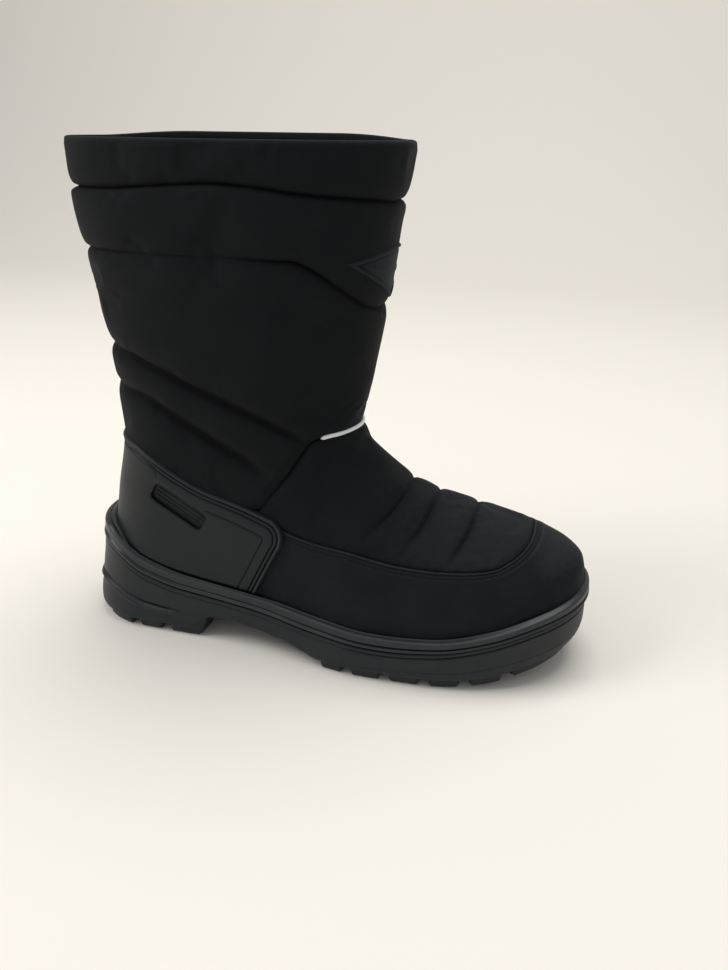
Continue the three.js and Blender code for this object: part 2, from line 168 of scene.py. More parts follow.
SECTIONS = table(
    "s base_x base_z crown_x crown_z wide full",
    (0, 301.5, 38, 302.3, 56, 0.4, 2.0),
    (1, 299.0, 28, 299.5, 64.5, 0.4, 2.0),
    (2, 291.0, 17, 291.0, 71.5, 0.38, 2.05),
    (3, 278.0, 11, 278.0, 77, 0.36, 2.1),
    (4, 260.0, 8, 260.0, 81.8, 0.34, 2.15),
    (5, 238.0, 8, 238.0, 87.5, 0.33, 2.2),
    (6, 217.0, 8, 218.0, 93.5, 0.32, 2.2),
    (7, 195.0, 8, 200.0, 101, 0.32, 2.1),
    (8, 168.0, 8, 184.0, 114, 0.33, 2.0),
    (9, 135.0, 8, 171.5, 128, 0.34, 1.95),
    (10, 98.0, 8, 167.5, 139, 0.37, 1.95),
    (11, 58.0, 8, 169.5, 150, 0.42, 2.0),
    (12, 22.0, 12, 172.0, 161, 0.46, 2.05),
    (13, 11.0, 45, 174.0, 173, 0.48, 2.1),
    (14, 17.0, 85, 176.5, 186, 0.5, 2.15),
    (15, 24.0, 122, 179.5, 202, 0.5, 2.2),
    (16, 20.6, 155, 182.5, 221, 0.5, 2.25),
    (17, 16.4, 188, 185.5, 240, 0.5, 2.3),
    (18, 10.0, 222, 188.5, 258, 0.5, 2.3),
    (19, 4.6, 256, 191.0, 273, 0.5, 2.3),
    (20, 3.2, 286, 193.0, 286, 0.5, 2.3),
    (21, 2.6, 300, 195.0, 300, 0.5, 2.3),
)
BACK = table(
    "z x reach",
    (8, 10, 36), (45, 11, 37), (85, 17, 40), (122, 24, 48), (155, 20.6, 60),
    (188, 16.4, 72), (222, 10, 80), (256, 4.6, 86), (300, 2.6, 90),
)
HEEL_SHARE = HEEL_WIDTH / BALL_WIDTH
PLAN = table(
    "x outer inner",
    (0, HEEL_SHARE, HEEL_SHARE), (70, 0.72, 0.71), (110, 0.76, 0.71), (150, 0.885, 0.77),
    (185, 0.99, 0.88), (215, 1.0, 0.975), (245, 1.0, 1.0), (305, 1.0, 1.0),
)
TOE_FROM = {"outer": 218.0, "inner": 232.0}
TOE_POWER = 2.15  # how squarely the toe is rounded
TOE_SWING = 5.0  # how far the toe swings to the inner side
SWING_FROM = 170.0
LEG = table("z width", (60, 0.8), (110, 0.85), (150, 0.87), (200, 0.92), (245, 0.98), (300, 1.01))
FOOT_TO_LEG = (55.0, 135.0)  # heights between which the foot's width gives way to the leg's
print("the last:", len(SECTIONS["s"]), "sections, a sole", SOLE_LENGTH, "mm long")

# %% [markdown]
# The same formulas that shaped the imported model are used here, so a fine skin drawn now
# lies on the coarse one to a fraction of a millimetre. Round the tip of the toe the
# sections would end in a flat, so a small rounded nose closes them.
# %% Places on the last
NOSE = (301.9, 46.0, 1.3)  # middle of the tip section, and how far the nose stands forward
BACK_POWER = 2.1  # how squarely the back is rounded
FEATHER = {"height": 8.0, "power": 2.5, "ends": (60, 30)}  # the rounding down to the sole


def section(s, *names):
    """Some columns of the section table at a section."""
    return [read(SECTIONS, "s", name, s) for name in names]


def middle(x):
    """The middle line of the foot seen from above: the toe swings inwards."""
    return TOE_SWING * smooth(x, SWING_FROM, TOE_TIP)


def by_side(rows, x, inner):
    return np.where(inner, read(rows, "x", "inner", x), read(rows, "x", "outer", x))


def toe_from(inner):
    return np.where(inner, TOE_FROM["inner"], TOE_FROM["outer"])


def half_width(x, z, along, s, inner):
    """Half width of the last at a place on a section."""
    toe = closing((TOE_TIP - x) / (TOE_TIP - toe_from(inner)), TOE_POWER)
    foot = (BALL_WIDTH / 2) * by_side(PLAN, x, inner) * toe
    leg = (SHAFT_WIDTH / 2) * read(LEG, "z", "width", z)
    wall = mix(foot, leg, smooth(z, *FOOT_TO_LEG))
    base_x, base_z, wide, full = section(s, "base_x", "base_z", "wide", "full")
    slack = np.where(s >= HEEL_SECTION, base_x - read(BACK, "z", "x", base_z), 0)
    from_back = x - read(BACK, "z", "x", z) - slack * (1 - along)
    back = closing(from_back / read(BACK, "z", "reach", z), BACK_POWER)
    return wall * back * np.minimum(1, closing((1 - along) / (1 - wide), full))


def skin(s, turn):
    """The point of the last at a section and a turn round it."""
    s, turn = np.broadcast_arrays(np.asarray(s, float), np.asarray(turn, float))
    nose = np.clip(-s, 0, 1) * math.pi / 2
    s = np.clip(s, 0, LAST_SECTION)
    inner = turn % 1 <= 0.5
    along = (1 - np.cos(2 * math.pi * turn)) / 2
    base_x, base_z, crown_x, crown_z = section(s, "base_x", "base_z", "crown_x", "crown_z")
    x, z = mix(base_x, crown_x, along), mix(base_z, crown_z, along)
    length = np.hypot(crown_x - base_x, crown_z - base_z)
    feather = closing(along * length / FEATHER["height"], FEATHER["power"])
    under = mix(1, feather, smooth(base_z, *FEATHER["ends"]))
    wide = half_width(x, z, along, s, inner) * under
    y = np.where(inner, wide, -wide)
    x = mix(NOSE[0], x, np.cos(nose)) + NOSE[2] * np.sin(nose)
    z = mix(NOSE[1], z, np.cos(nose))
    return np.stack([x, middle(x) + y * np.cos(nose), z], -1)


def facing(s, turn):
    """The outward direction of the last's surface."""
    rise = skin(s + 0.06, turn) - skin(np.maximum(s - 0.06, -1), turn)
    round_it = skin(s, turn + 0.003) - skin(s, turn - 0.003)
    normal = np.cross(rise, round_it)
    size = np.linalg.norm(normal, axis=-1, keepdims=True)
    return normal / np.where(size < 1e-9, 1, size)


def grown(s, turn, lift):
    """The last's surface moved outwards by a lift in millimetres."""
    return skin(s, turn) + facing(s, turn) * np.asarray(lift)[..., None]


def turn_of(along, inner):
    half = np.arccos(np.clip(1 - 2 * along, -1, 1)) / (2 * math.pi)
    return np.where(inner, half, 1 - half)


def locate(x, z, inner):
    """The section and turn of a place given in the side view."""
    x, z, inner = np.broadcast_arrays(np.asarray(x, float), z, inner)

    def from_base(s):
        base_x, base_z, crown_x, crown_z = section(s, "base_x", "base_z", "crown_x", "crown_z")
        return x - base_x, z - base_z, crown_x - base_x, crown_z - base_z

    def ahead_of(s):
        right, up, run, rise = from_base(s)
        return run * up - rise * right > 0

    s = search(ahead_of, np.zeros_like(x), np.full_like(x, LAST_SECTION))
    right, up, run, rise = from_base(s)
    along = (right * run + up * rise) / (run * run + rise * rise)
    return s, turn_of(along, inner)


outsole_low, outsole_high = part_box("outsole")
shaft_low, shaft_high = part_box("shaft")
HEEL_BULGE = -6.2  # the sole's rearmost point, behind the last's zero
ORIGIN = np.array([outsole_low.x - HEEL_BULGE * MM, (shaft_low.y + shaft_high.y) / 2, 0.0])


def placed(points):
    """Millimetres on the last, as metres in the frame."""
    return np.asarray(points) * MM + ORIGIN


print("origin of the last in the frame, mm:", np.round(ORIGIN / MM, 2))

# %% [markdown]
# ## Building meshes
# Every soft or moulded piece here is a sheet with thickness: a grid of points for its
# face, another for its back, and a wall round the edge. One small builder gathers such
# grids, welds points that meet, and keeps two things for the materials: a UV map in
# metres, so that a weave has its real size, and a `relief` value, high on crests and low
# in seams, from which the finishes paint crests paler, partly as rubbed wear and partly as
# painted highlight, and seams darker as painted shade. A grid faces the side that its
# rows' direction crossed with its columns' direction points to.
# %% The mesh builder
WELD = 0.00001
SHARP = 42.0  # moulded edges sharper than this stay crisp
SOFT = 89.0  # cloth has none


def put(name, data):
    """An object for a mesh, light or camera, in the scene."""
    piece = bpy.data.objects.new(name, data)
    bpy.context.scene.collection.objects.link(piece)
    return piece


class Maker:
    def __init__(self, name):
        self.name, self.count = name, 0
        self.points, self.relief = [], []
        self.faces, self.face_uvs = [], []

    def add(self, points, relief=0.0):
        """Adds a grid of points and returns the grid of their numbers."""
        points = np.asarray(points, float)
        shape = points.shape[:-1]
        numbers = np.arange(self.count, self.count + int(np.prod(shape))).reshape(shape)
        self.count += numbers.size
        self.points.append(points.reshape(-1, 3))
        self.relief.append(np.broadcast_to(np.asarray(relief, float), shape).reshape(-1))
        return numbers

    def cover(self, grid, across=None, up=None):
        """Quads over a grid of numbers; across and up are the UV of its points, in mm."""
        def corners(g):
            return g[:-1, :-1], g[1:, :-1], g[1:, 1:], g[:-1, 1:]
        quads = np.stack(corners(grid), -1).reshape(-1, 4)
        self.faces.append(quads)
        uv = np.zeros((len(quads), 4, 2))
        if across is not None:
            uv = np.stack(corners(np.stack([across, up], -1) * MM), 2).reshape(-1, 4, 2)
        self.face_uvs.append(uv)

    def cap(self, loop):
        """One face over a loop of numbers, given anticlockwise from outside."""
        self.faces.append([loop])
        self.face_uvs.append(np.zeros((1, len(loop), 2)))

    def build(self, material=None, sharp=SHARP, turn_out=False):
        """The finished piece; turn_out points every face outwards."""
        mesh = bpy.data.meshes.new(self.name)
        points = placed(np.concatenate(self.points))
        faces = [[int(v) for v in face] for block in self.faces for face in block]
        mesh.from_pydata(points.tolist(), [], faces)
        layer = mesh.uv_layers.new(name="cloth")
        uv = np.concatenate([block.reshape(-1, 2) for block in self.face_uvs])
        layer.data.foreach_set("uv", uv.astype(np.float32).ravel())
        attribute = mesh.attributes.new("relief", "FLOAT", "POINT")
        attribute.data.foreach_set("value", np.concatenate(self.relief).astype(np.float32))
        work = bmesh.new()
        work.from_mesh(mesh)
        bmesh.ops.remove_doubles(work, verts=work.verts, dist=WELD)
        if turn_out:
            bmesh.ops.recalc_face_normals(work, faces=work.faces)
        work.to_mesh(mesh)
        work.free()
        if material:
            mesh.materials.append(material)
        mesh.validate()
        mesh.shade_smooth()
        mesh.set_sharp_from_angle(angle=math.radians(sharp))
        print(f"{self.name}: {len(mesh.vertices)} points, {len(mesh.polygons)} faces")
        return put(self.name, mesh)


def lengths(points, axis):
    """How far each point of a grid is along its row or column, in mm."""
    steps = np.linalg.norm(np.diff(points, axis=axis), axis=-1)
    start = np.zeros_like(np.take(steps, [0], axis=axis))
    return np.concatenate([start, np.cumsum(steps, axis=axis)], axis=axis)


def cloth_map(points):
    """Distances over a grid in mm: across from its middle column, up from its first row."""
    across = lengths(points, 1)
    return across - across[:, [across.shape[1] // 2]], lengths(points, 0)


def wall(maker, outer, inner, flip):
    """The wall between an edge of the face and the coarser edge of the back."""
    every = (len(outer) - 1) // (len(inner) - 1)
    for i in range(len(inner) - 1):
        loop = [*outer[i * every:(i + 1) * every + 1], inner[i + 1], inner[i]]
        maker.cap(loop[::-1] if flip else loop)


def slab(maker, face, back, relief=0.0):
    """A closed sheet. The back may be coarser: its points meet every so many of the face's."""
    outer, inner = maker.add(face, relief), maker.add(back)
    maker.cover(outer, *cloth_map(face))
    maker.cover(inner[:, ::-1])
    wall(maker, outer[0], inner[0], False)
    wall(maker, outer[-1], inner[-1], True)
    wall(maker, outer[:, 0], inner[:, 0], True)
    wall(maker, outer[:, -1], inner[:, -1], False)


def thinned(grid, rows, columns):
    """Every so many rows and columns of a grid, its edges included."""
    return grid[::rows, ::columns]


def eased(count, clustering=0.45):
    """Fractions from 0 to 1, closer together at both ends."""
    t = np.linspace(0, 1, count)
    return t - clustering * np.sin(2 * math.pi * t) / (2 * math.pi)


print("welding points nearer than", WELD / MM, "mm")

# %% [markdown]
# ## Shared effects for the finishes
# Cloth and rubber differ in a few repeated effects: a weave, a fine grain, paler crests,
# partly rubbed wear and partly painted highlight, seams darkened as painted shade, and dust
# that settles low down. Each could be rebuilt in every material, but one node group each,
# with its sizes as inputs, keeps them alike and easy to change. A group gives only masks
# and heights; the shader stays in the material.
# %% Node groups
def group(name, inputs, outputs):
    """An empty shader group: inputs are names with default values, outputs are names."""
    tree = bpy.data.node_groups.new(name, "ShaderNodeTree")
    for label, value in inputs.items():
        kind = "NodeSocketVector" if value is None else "NodeSocketFloat"
        socket = tree.interface.new_socket(label, in_out="INPUT", socket_type=kind)
        if value is not None:
            socket.default_value = value
    for label in outputs:
        tree.interface.new_socket(label, in_out="OUTPUT", socket_type="NodeSocketFloat")
    return tree, tree.nodes.new("NodeGroupInput"), tree.nodes.new("NodeGroupOutput")


def math_node(tree, operation, *values, clamp=False):
    """A Math node whose inputs are sockets or numbers; returns its output."""
    node = tree.nodes.new("ShaderNodeMath")
    node.operation, node.use_clamp = operation, clamp
    for socket, value in zip(node.inputs, values):
        if isinstance(value, (int, float)):
            socket.default_value = value
        else:
            tree.links.new(value, socket)
    return node.outputs[0]


def noise(tree, vector, scale, detail=3.0, roughness=0.55):
    node = tree.nodes.new("ShaderNodeTexNoise")
    node.inputs["Detail"].default_value = detail
    node.inputs["Roughness"].default_value = roughness
    tree.links.new(vector, node.inputs["Vector"])
    if isinstance(scale, (int, float)):
        node.inputs["Scale"].default_value = scale
    else:
        tree.links.new(scale, node.inputs["Scale"])
    return node.outputs["Fac"]


def ranged(tree, value, low, high, to_low=0.0, to_high=1.0):
    node = tree.nodes.new("ShaderNodeMapRange")
    for label, number in (("From Min", low), ("From Max", high), ("To Min", to_low), ("To Max", to_high)):
        node.inputs[label].default_value = number
    tree.links.new(value, node.inputs["Value"])
    return node.outputs[0]


def make_weave():
    """Threads over and under each other: their height, and a cloudy unevenness."""
    tree, given, out = group("weave", {"Vector": None, "Pitch": 0.0006}, ["Height", "Cloud"])
    split = tree.nodes.new("ShaderNodeSeparateXYZ")
    tree.links.new(given.outputs["Vector"], split.inputs[0])
    turns = math_node(tree, "DIVIDE", 2 * math.pi, given.outputs["Pitch"])
    warp = math_node(tree, "SINE", math_node(tree, "MULTIPLY", split.outputs["X"], turns))
    weft = math_node(tree, "SINE", math_node(tree, "MULTIPLY", split.outputs["Y"], turns))
    crossed = math_node(tree, "MULTIPLY", warp, weft)
    tree.links.new(math_node(tree, "MULTIPLY_ADD", crossed, 0.5, 0.5), out.inputs["Height"])
    tree.links.new(noise(tree, given.outputs["Vector"], 45.0), out.inputs["Cloud"])
    return tree


def make_grain():
    """The fine grain of moulded rubber or coated cloth, and a broad unevenness."""
    tree, given, out = group("grain", {"Vector": None, "Scale": 1500.0}, ["Height", "Cloud"])
    tree.links.new(noise(tree, given.outputs["Vector"], given.outputs["Scale"], 2.0), out.inputs["Height"])
    tree.links.new(noise(tree, given.outputs["Vector"], 28.0, 4.0), out.inputs["Cloud"])
    return tree


def make_wear_and_light():
    """Paler crests, partly rubbed wear and partly painted highlight, and seams darkened as painted shade,
    from the relief attribute.
    """
    tree, given, out = group("wear_and_painted_light", {"Vector": None, "Ragged": 0.5}, ["Rubbed", "PaintedShade"])
    relief = tree.nodes.new("ShaderNodeAttribute")
    relief.attribute_name = "relief"
    broken = noise(tree, given.outputs["Vector"], 320.0, 4.0)
    lifted = math_node(tree, "MULTIPLY", math_node(tree, "SUBTRACT", broken, 0.5), given.outputs["Ragged"])
    level = math_node(tree, "ADD", relief.outputs["Fac"], lifted)
    tree.links.new(ranged(tree, level, 0.35, 1.1), out.inputs["Rubbed"])
    tree.links.new(ranged(tree, relief.outputs["Fac"], -0.15, -1.0), out.inputs["PaintedShade"])
    return tree


def make_dust():
    """Fine dust that lies low on the boot, thinning out with height."""
    tree, given, out = group("dust", {"Vector": None, "Top": 0.09}, ["Mask"])
    split = tree.nodes.new("ShaderNodeSeparateXYZ")
    tree.links.new(given.outputs["Vector"], split.inputs[0])
    share = math_node(tree, "DIVIDE", split.outputs["Z"], given.outputs["Top"])
    low = math_node(tree, "SUBTRACT", 1.0, share, clamp=True)
    patch = ranged(tree, noise(tree, given.outputs["Vector"], 60.0, 5.0, 0.65), 0.42, 0.75)
    tree.links.new(math_node(tree, "MULTIPLY", low, patch), out.inputs["Mask"])
    return tree


WEAVE, GRAIN, WEAR_AND_LIGHT, DUST = make_weave(), make_grain(), make_wear_and_light(), make_dust()
print("shared groups:", ", ".join(tree.name for tree in (WEAVE, GRAIN, WEAR_AND_LIGHT, DUST)))

# %% [markdown]
# ## Finishes
# The quilted cloth is a brushed softshell: matte, with a fine weave and a soft sheen. The
# guard is cloth with a rubbery coat, so it has grain in place of weave, and it pales on its
# crests and over the top of the toe, partly as rubbed wear and partly as painted highlight.
# The sole, counter and badge are moulded rubber in three mixes. All come from one recipe:
# a base colour, a paler one for cloudiness, rubbed wear and painted highlights, a darker
# one for painted shade in seams and grooves, then a fine bump.
# %% Materials
def finish(name, base, worn_and_lit, sunk, roughness, surface=GRAIN, size=1500.0, bump=0.1, deep=0.0001,
           dust=0.15, sheen=0.0, specular=0.5, cloud=0.15):
    """A material whose colour follows relief, cloudiness and dust, with a fine bump. Its relief makes crests
    paler, partly as rubbed wear and partly as painted highlight, and seams darker as painted shade.
    """
    material = bpy.data.materials.new(name)
    material.use_nodes = True
    tree = material.node_tree
    shader = tree.nodes["Principled BSDF"]
    place = tree.nodes.new("ShaderNodeTexCoord")
    spot = place.outputs["Object"]

    def use(effect, vector, **values):
        node = tree.nodes.new("ShaderNodeGroup")
        node.node_tree = effect
        tree.links.new(vector, node.inputs["Vector"])
        for label, value in values.items():
            node.inputs[label].default_value = value
        return node

    def blend(amount, under, over):
        node = tree.nodes.new("ShaderNodeMix")
        node.data_type = "RGBA"
        tree.links.new(amount, node.inputs["Factor"])
        for socket, colour in ((node.inputs["A"], under), (node.inputs["B"], over)):
            if isinstance(colour, tuple):
                socket.default_value = (*colour, 1.0)
            else:
                tree.links.new(colour, socket)
        return node.outputs["Result"]

    if surface is WEAVE:
        fine = use(WEAVE, place.outputs["UV"], Pitch=size)
    else:
        fine = use(GRAIN, spot, Scale=size)
    wear_and_light_masks, dusty = use(WEAR_AND_LIGHT, spot), use(DUST, spot)
    shade = ranged(tree, fine.outputs["Cloud"], 0.3, 0.7, 0.0, cloud)
    colour = blend(shade, base, worn_and_lit)
    # Paler on crests: rubbed wear and painted highlight. Darker in seams and grooves: painted shade.
    colour = blend(wear_and_light_masks.outputs["Rubbed"], colour, worn_and_lit)
    colour = blend(wear_and_light_masks.outputs["PaintedShade"], colour, sunk)
    colour = blend(math_node(tree, "MULTIPLY", dusty.outputs["Mask"], dust), colour, DUST_COLOUR)
    tree.links.new(colour, shader.inputs["Base Color"])
    gloss = ranged(tree, fine.outputs["Cloud"], 0.3, 0.7, roughness - 0.06, roughness + 0.06)
    tree.links.new(gloss, shader.inputs["Roughness"])
    relief = tree.nodes.new("ShaderNodeBump")
    relief.inputs["Strength"].default_value = bump
    relief.inputs["Distance"].default_value = deep
    tree.links.new(fine.outputs["Height"], relief.inputs["Height"])
    tree.links.new(relief.outputs["Normal"], shader.inputs["Normal"])
    shader.inputs["Sheen Weight"].default_value = sheen
    shader.inputs["Sheen Roughness"].default_value = 0.45
    shader.inputs["Specular IOR Level"].default_value = specular
    return material


DUST_COLOUR = (0.22, 0.21, 0.19)
# Each finish: its base colour, a paler colour for rubbed wear and painted highlights on crests, and a darker
# colour for painted shade in seams and grooves.
softshell = finish("softshell", (0.0062, 0.0072, 0.0083), (0.0165, 0.0185, 0.0215), (0.0025, 0.0027, 0.0032),
                   0.85, WEAVE, 0.0007, bump=0.35, deep=0.00015, dust=0.02, sheen=0.03, specular=0.12,
                   cloud=0.08)
coated = finish("coated_guard", (0.0054, 0.0068, 0.0084), (0.023, 0.0265, 0.031), (0.0023, 0.0028, 0.0036),
                0.7, GRAIN, 1100.0, bump=0.3, deep=0.0001, dust=0.03, specular=0.14, cloud=0.16)
sole_rubber = finish("sole_rubber", (0.0108, 0.0136, 0.0162), (0.031, 0.0365, 0.042), (0.003, 0.0036, 0.0043),
                     0.5, GRAIN, 900.0, bump=0.15, dust=0.04, specular=0.28)
# The rim's rubber is a glossier copy of the sole's, with a paler colour for painted highlights on its beads
# and a darker one for painted shade in its grooves.
rim_rubber = finish("rim_rubber", (0.0095, 0.012, 0.0145), (0.038, 0.044, 0.05), (0.002, 0.0024, 0.003),
                    0.4, GRAIN, 900.0, bump=0.12, dust=0.03, specular=0.4)
cup_rubber = finish("counter_rubber", (0.0068, 0.0092, 0.0114), (0.028, 0.034, 0.04),
                    (0.0017, 0.0022, 0.0028),
                    0.5, GRAIN, 1000.0, bump=0.12, dust=0.02, specular=0.26)
badge_rubber = finish("badge_rubber", (0.0095, 0.0125, 0.0155), (0.018, 0.0225, 0.027), (0.002, 0.003, 0.004),
                      0.68, GRAIN, 1200.0, bump=0.2, dust=0.0, specular=0.16)
felt = finish("felt", (0.03, 0.03, 0.033), (0.05, 0.05, 0.054), (0.015, 0.015, 0.017),
              0.95, GRAIN, 2200.0, bump=0.6, deep=0.0004, dust=0.0, sheen=0.3, specular=0.2)
fleece = finish("fleece", (0.02, 0.02, 0.022), (0.035, 0.035, 0.038), (0.01, 0.01, 0.011),
                0.95, GRAIN, 700.0, bump=0.8, deep=0.0012, dust=0.0, sheen=0.4, specular=0.2)
thread = finish("thread", (0.004, 0.004, 0.005), (0.008, 0.008, 0.009), (0.003, 0.003, 0.003),
                0.8, GRAIN, 4000.0, bump=0.4, dust=0.0, specular=0.15)
piping_white = finish("reflective_piping", (0.78, 0.79, 0.8), (0.9, 0.9, 0.9), (0.5, 0.5, 0.52),
                      0.4, GRAIN, 2600.0, bump=0.2, dust=0.0, cloud=0.5)
print("materials:", len(bpy.data.materials))

# %% [markdown]
# ## Seams of the padded leg
# The leg is one padded cloth with stitched lines that hold its foam down: the collar seam,
# a yoke seam that dips at the shin, two slanting folds behind the ankle, and the ankle seam
# where it meets the vamp. Seen from the side each is a curve, height over distance from the
# heel. They could be cut as geometry, but foam closes over a stitch, so each is written as
# how far the padding takes to reach its full height above and below the line.
# %% Seam lines
def line(*rows):
    rows = table("x z", *rows)
    return lambda x: read(rows, "x", "z", x)


def share(*rows):
    rows = table("x share", *rows)
    return lambda x: read(rows, "x", "share", x)


def beside(seam, x, z):
    """Distance in the side view from a seam, up being positive."""
    return (z - seam(x)) / np.hypot(1, seam(x + 0.5) - seam(x - 0.5))


ankle_seam = line((-20, 118), (21.7, 114), (58.8, 104), (81.5, 92.5), (104.5, 86), (117.5, 89.5),
                  (134.5, 111.5), (149.5, 132), (158, 134.3), (230, 136.5))
yoke_seam = line((9, 228.8), (29, 230), (66, 230.8), (100, 231.2), (121.8, 230.6), (142.2, 229.8),
                 (151, 226.2), (164.3, 215.8), (172.5, 208.1), (183, 199))
collar_seam = line((3, 260.6), (42.7, 261.9), (79.5, 264.7), (104, 266), (121.8, 264.9), (147.5, 261.7),
                   (168.4, 259.9), (180, 258.7), (190, 256.5))
upper_fold = line((18, 176.5), (43.2, 173.6), (58, 169.3), (73.9, 164), (88.3, 158), (102.5, 152.4),
                  (124.1, 142.7), (139.1, 134.6), (160, 122))
lower_fold = line((20, 154), (48.3, 151.5), (62.5, 146.5), (77.6, 138.4), (100.6, 125.8), (114.4, 117.7),
                  (130, 108))

FOLDS = (  # seam, reach of padding below and above, crease width and depth, strength along x
    (ankle_seam, 4.0, 8.0, 0.9, 0.7, share((0, 1), (230, 1))),
    (lower_fold, 11.0, 15.0, 3.8, 1.35, share((20, 0.45), (50, 0.9), (90, 1), (112, 0.75), (128, 0))),
    (upper_fold, 6.5, 18.0, 3.0, 1.35, share((18, 0.8), (60, 1), (110, 1), (136, 0.7), (149, 0))),
    (yoke_seam, 8.0, 9.0, 1.5, 1.1, share((9, 0.8), (40, 0.65), (90, 0.4), (125, 0.65), (150, 1), (190, 1))),
    (collar_seam, 3.2, 10.0, 1.1, 1.5, share((0, 1), (200, 1))),
)
PUFF = 3.1  # how far the padding swells between its seams
BASE = -1.6  # the cloth at a seam, under the last's own surface


def padding(x, z, puff=PUFF):
    """Height of the padded cloth over the last, and its relief from -1 to 1."""
    swell = np.ones_like(x)
    sunk = np.zeros_like(x)
    for seam, below, above, width, depth, strength in FOLDS:
        d, k = beside(seam, x, z), strength(x)
        near = np.hypot(d, 0.45 * width) - 0.45 * width
        rise = closing(near / np.where(d > 0, above, below), 2.0)
        swell = swell * (1 - k * (1 - rise))
        sunk = np.maximum(sunk, k * depth * hollow(d, width))
    ripple = 0.35 * np.sin(x / 11 + z / 17) * np.sin(z / 23 - x / 29 + 1) + 0.2 * np.sin(x / 6.3 - z / 9.7)
    height = BASE + swell * (puff + ripple) - sunk
    # The relief paints the creases darker as painted shade, and the swells a little paler.
    return height, swell * 0.3 - 1.1 * sunk


print("padding halfway up the shin, mm:", np.round(padding(np.array([120.0]), np.array([190.0]))[0], 2))

# %% [markdown]
# ## Letting the cloth find its own shape
# A formula gives the folds their places, but padded cloth also settles by itself: it swells
# where it is free, and puckers beside a seam because it is cut a little larger than the
# space it fills. So a coarse copy of each grid is pinned along its seams, made a few
# thousandths too large, and blown up by Blender's Cloth for twenty frames. How far it moved,
# capped so that it can't change the boot's outline, is then added to the fine grid.
# %% Cloth simulation
SHEET = {"step": 4, "frames": 20, "pressure": 4.0, "spare": 0.008, "most": 1.0, "pinned": 3.6}
print("each sheet takes one point in", SHEET["step"], "each way, and moves", SHEET["most"], "mm at most")


def spread(values, rows, columns, shape):
    """Values at some rows and columns of a grid, filled in between them."""
    down = np.array([np.interp(np.arange(shape[0]), rows, v) for v in values.T])
    return np.array([np.interp(np.arange(shape[1]), columns, v) for v in down.T])


def settled(name, points, out, held):
    """How far the cloth moves off a grid of points, along the normals out, in mm."""
    rows, columns = (np.unique([*range(0, n, SHEET["step"]), n - 1]) for n in points.shape[:2])
    pick = np.ix_(rows, columns)
    start, shape = points[pick], (len(rows), len(columns))
    number = np.arange(start[..., 0].size).reshape(shape)
    quads = np.stack([number[:-1, :-1], number[1:, :-1], number[1:, 1:], number[:-1, 1:]], -1).reshape(-1, 4)
    mesh = bpy.data.meshes.new(name)
    mesh.from_pydata((start.reshape(-1, 3) * MM).tolist(), [], quads.tolist())
    sheet = put(name, mesh)
    pins = sheet.vertex_groups.new(name="pins")
    edge = np.ones(shape)
    edge[1:-1, 1:-1] = 0
    for i, weight in enumerate(np.maximum(held[pick], edge).ravel()):
        pins.add([i], float(weight), "REPLACE")
    cloth = sheet.modifiers.new("cloth", "CLOTH")
    cloth.settings.vertex_group_mass = pins.name
    cloth.settings.shrink_min = -SHEET["spare"]
    cloth.settings.use_pressure = True
    cloth.settings.uniform_pressure_force = SHEET["pressure"]
    cloth.settings.effector_weights.gravity = 0.0
    cloth.point_cache.frame_end = SHEET["frames"]
    for frame in range(1, SHEET["frames"] + 1):
        bpy.context.scene.frame_set(frame)
    moved = sheet.evaluated_get(bpy.context.evaluated_depsgraph_get()).data
    place = np.empty(3 * len(moved.vertices))
    moved.vertices.foreach_get("co", place)
    bpy.context.scene.frame_set(1)
    bpy.data.objects.remove(sheet)
    move = ((place.reshape(start.shape) / MM - start) * out[pick]).sum(-1)
    print(f"{name}: cloth moved from {move.min():.2f} to {move.max():.2f} mm")
    return spread(SHEET["most"] * np.tanh(move / SHEET["most"]), rows, columns, points.shape[:2])

# %% [markdown]
# ## The padded leg
# The cloth runs up the outside, rolls over the collar and turns down inside, so its grid
# is a sleeve: columns round the leg, rows from the ankle seam up, over and back. Rows are
# lined up with the ankle, yoke and collar seams so that their creases stay crisp.
# %% Leg cloth
LEG_COLUMNS = 361
COLLAR_TOP = 286.2
ROLL = 2.5  # radius of the rolled collar edge
ROLL_SQUARE = 0.7  # below 1 the roll is squarer than a round one
FACING = 9.0  # the cloth turned down inside
INNER_LIFT = 2.4  # how much higher the collar stands on the inner side
HIDDEN = -3.4  # the cloth's back, against the lining
UNDER_BADGE = {"y": 2.0, "z": 225.0, "wide": (42, 36), "high": (24, 18), "ahead": (140, 150)}


def level(height):
    """A level line of the side view."""
    return lambda x: height + 0 * x


def rising(s, above):
    """The section at which each column of some heights first passes zero."""
    i = np.clip(np.argmax(above > 0, axis=0), 1, None)
    column = np.arange(above.shape[1])
    a, b = above[i - 1, column], above[i, column]
    return s[i - 1] + (s[i] - s[i - 1]) * (-a / (b - a))


def crossing(turns, seam, low, high, steps=260):
    """The section at which each turn's column rises through a line of the side view."""
    s = np.linspace(low, high, steps)
    points = skin(s[:, None], turns[None, :])
    return rising(s, points[..., 2] - seam(points[..., 0]))


def evened(s, count):
    """Turns whose points are evenly far apart round a section."""
    turns = np.linspace(0, 1, 2001)
    far = lengths(skin(s, turns)[None], 1)[0]
    return np.interp(np.linspace(0, far[-1], count), far, turns)


def leg_pins(points):
    """How firmly each point of the leg's cloth is held, by its seams and under the badge."""
    x, y, z = np.moveaxis(points, -1, 0)
    at = UNDER_BADGE
    held = smooth(np.abs(y - at["y"]), *at["wide"]) * smooth(np.abs(z - at["z"]), *at["high"])
    held = held * smooth(x, *at["ahead"])
    for seam, *_, strength in FOLDS:
        held = np.maximum(held, strength(x) * hollow(beside(seam, x, z), SHEET["pinned"]))
    return held


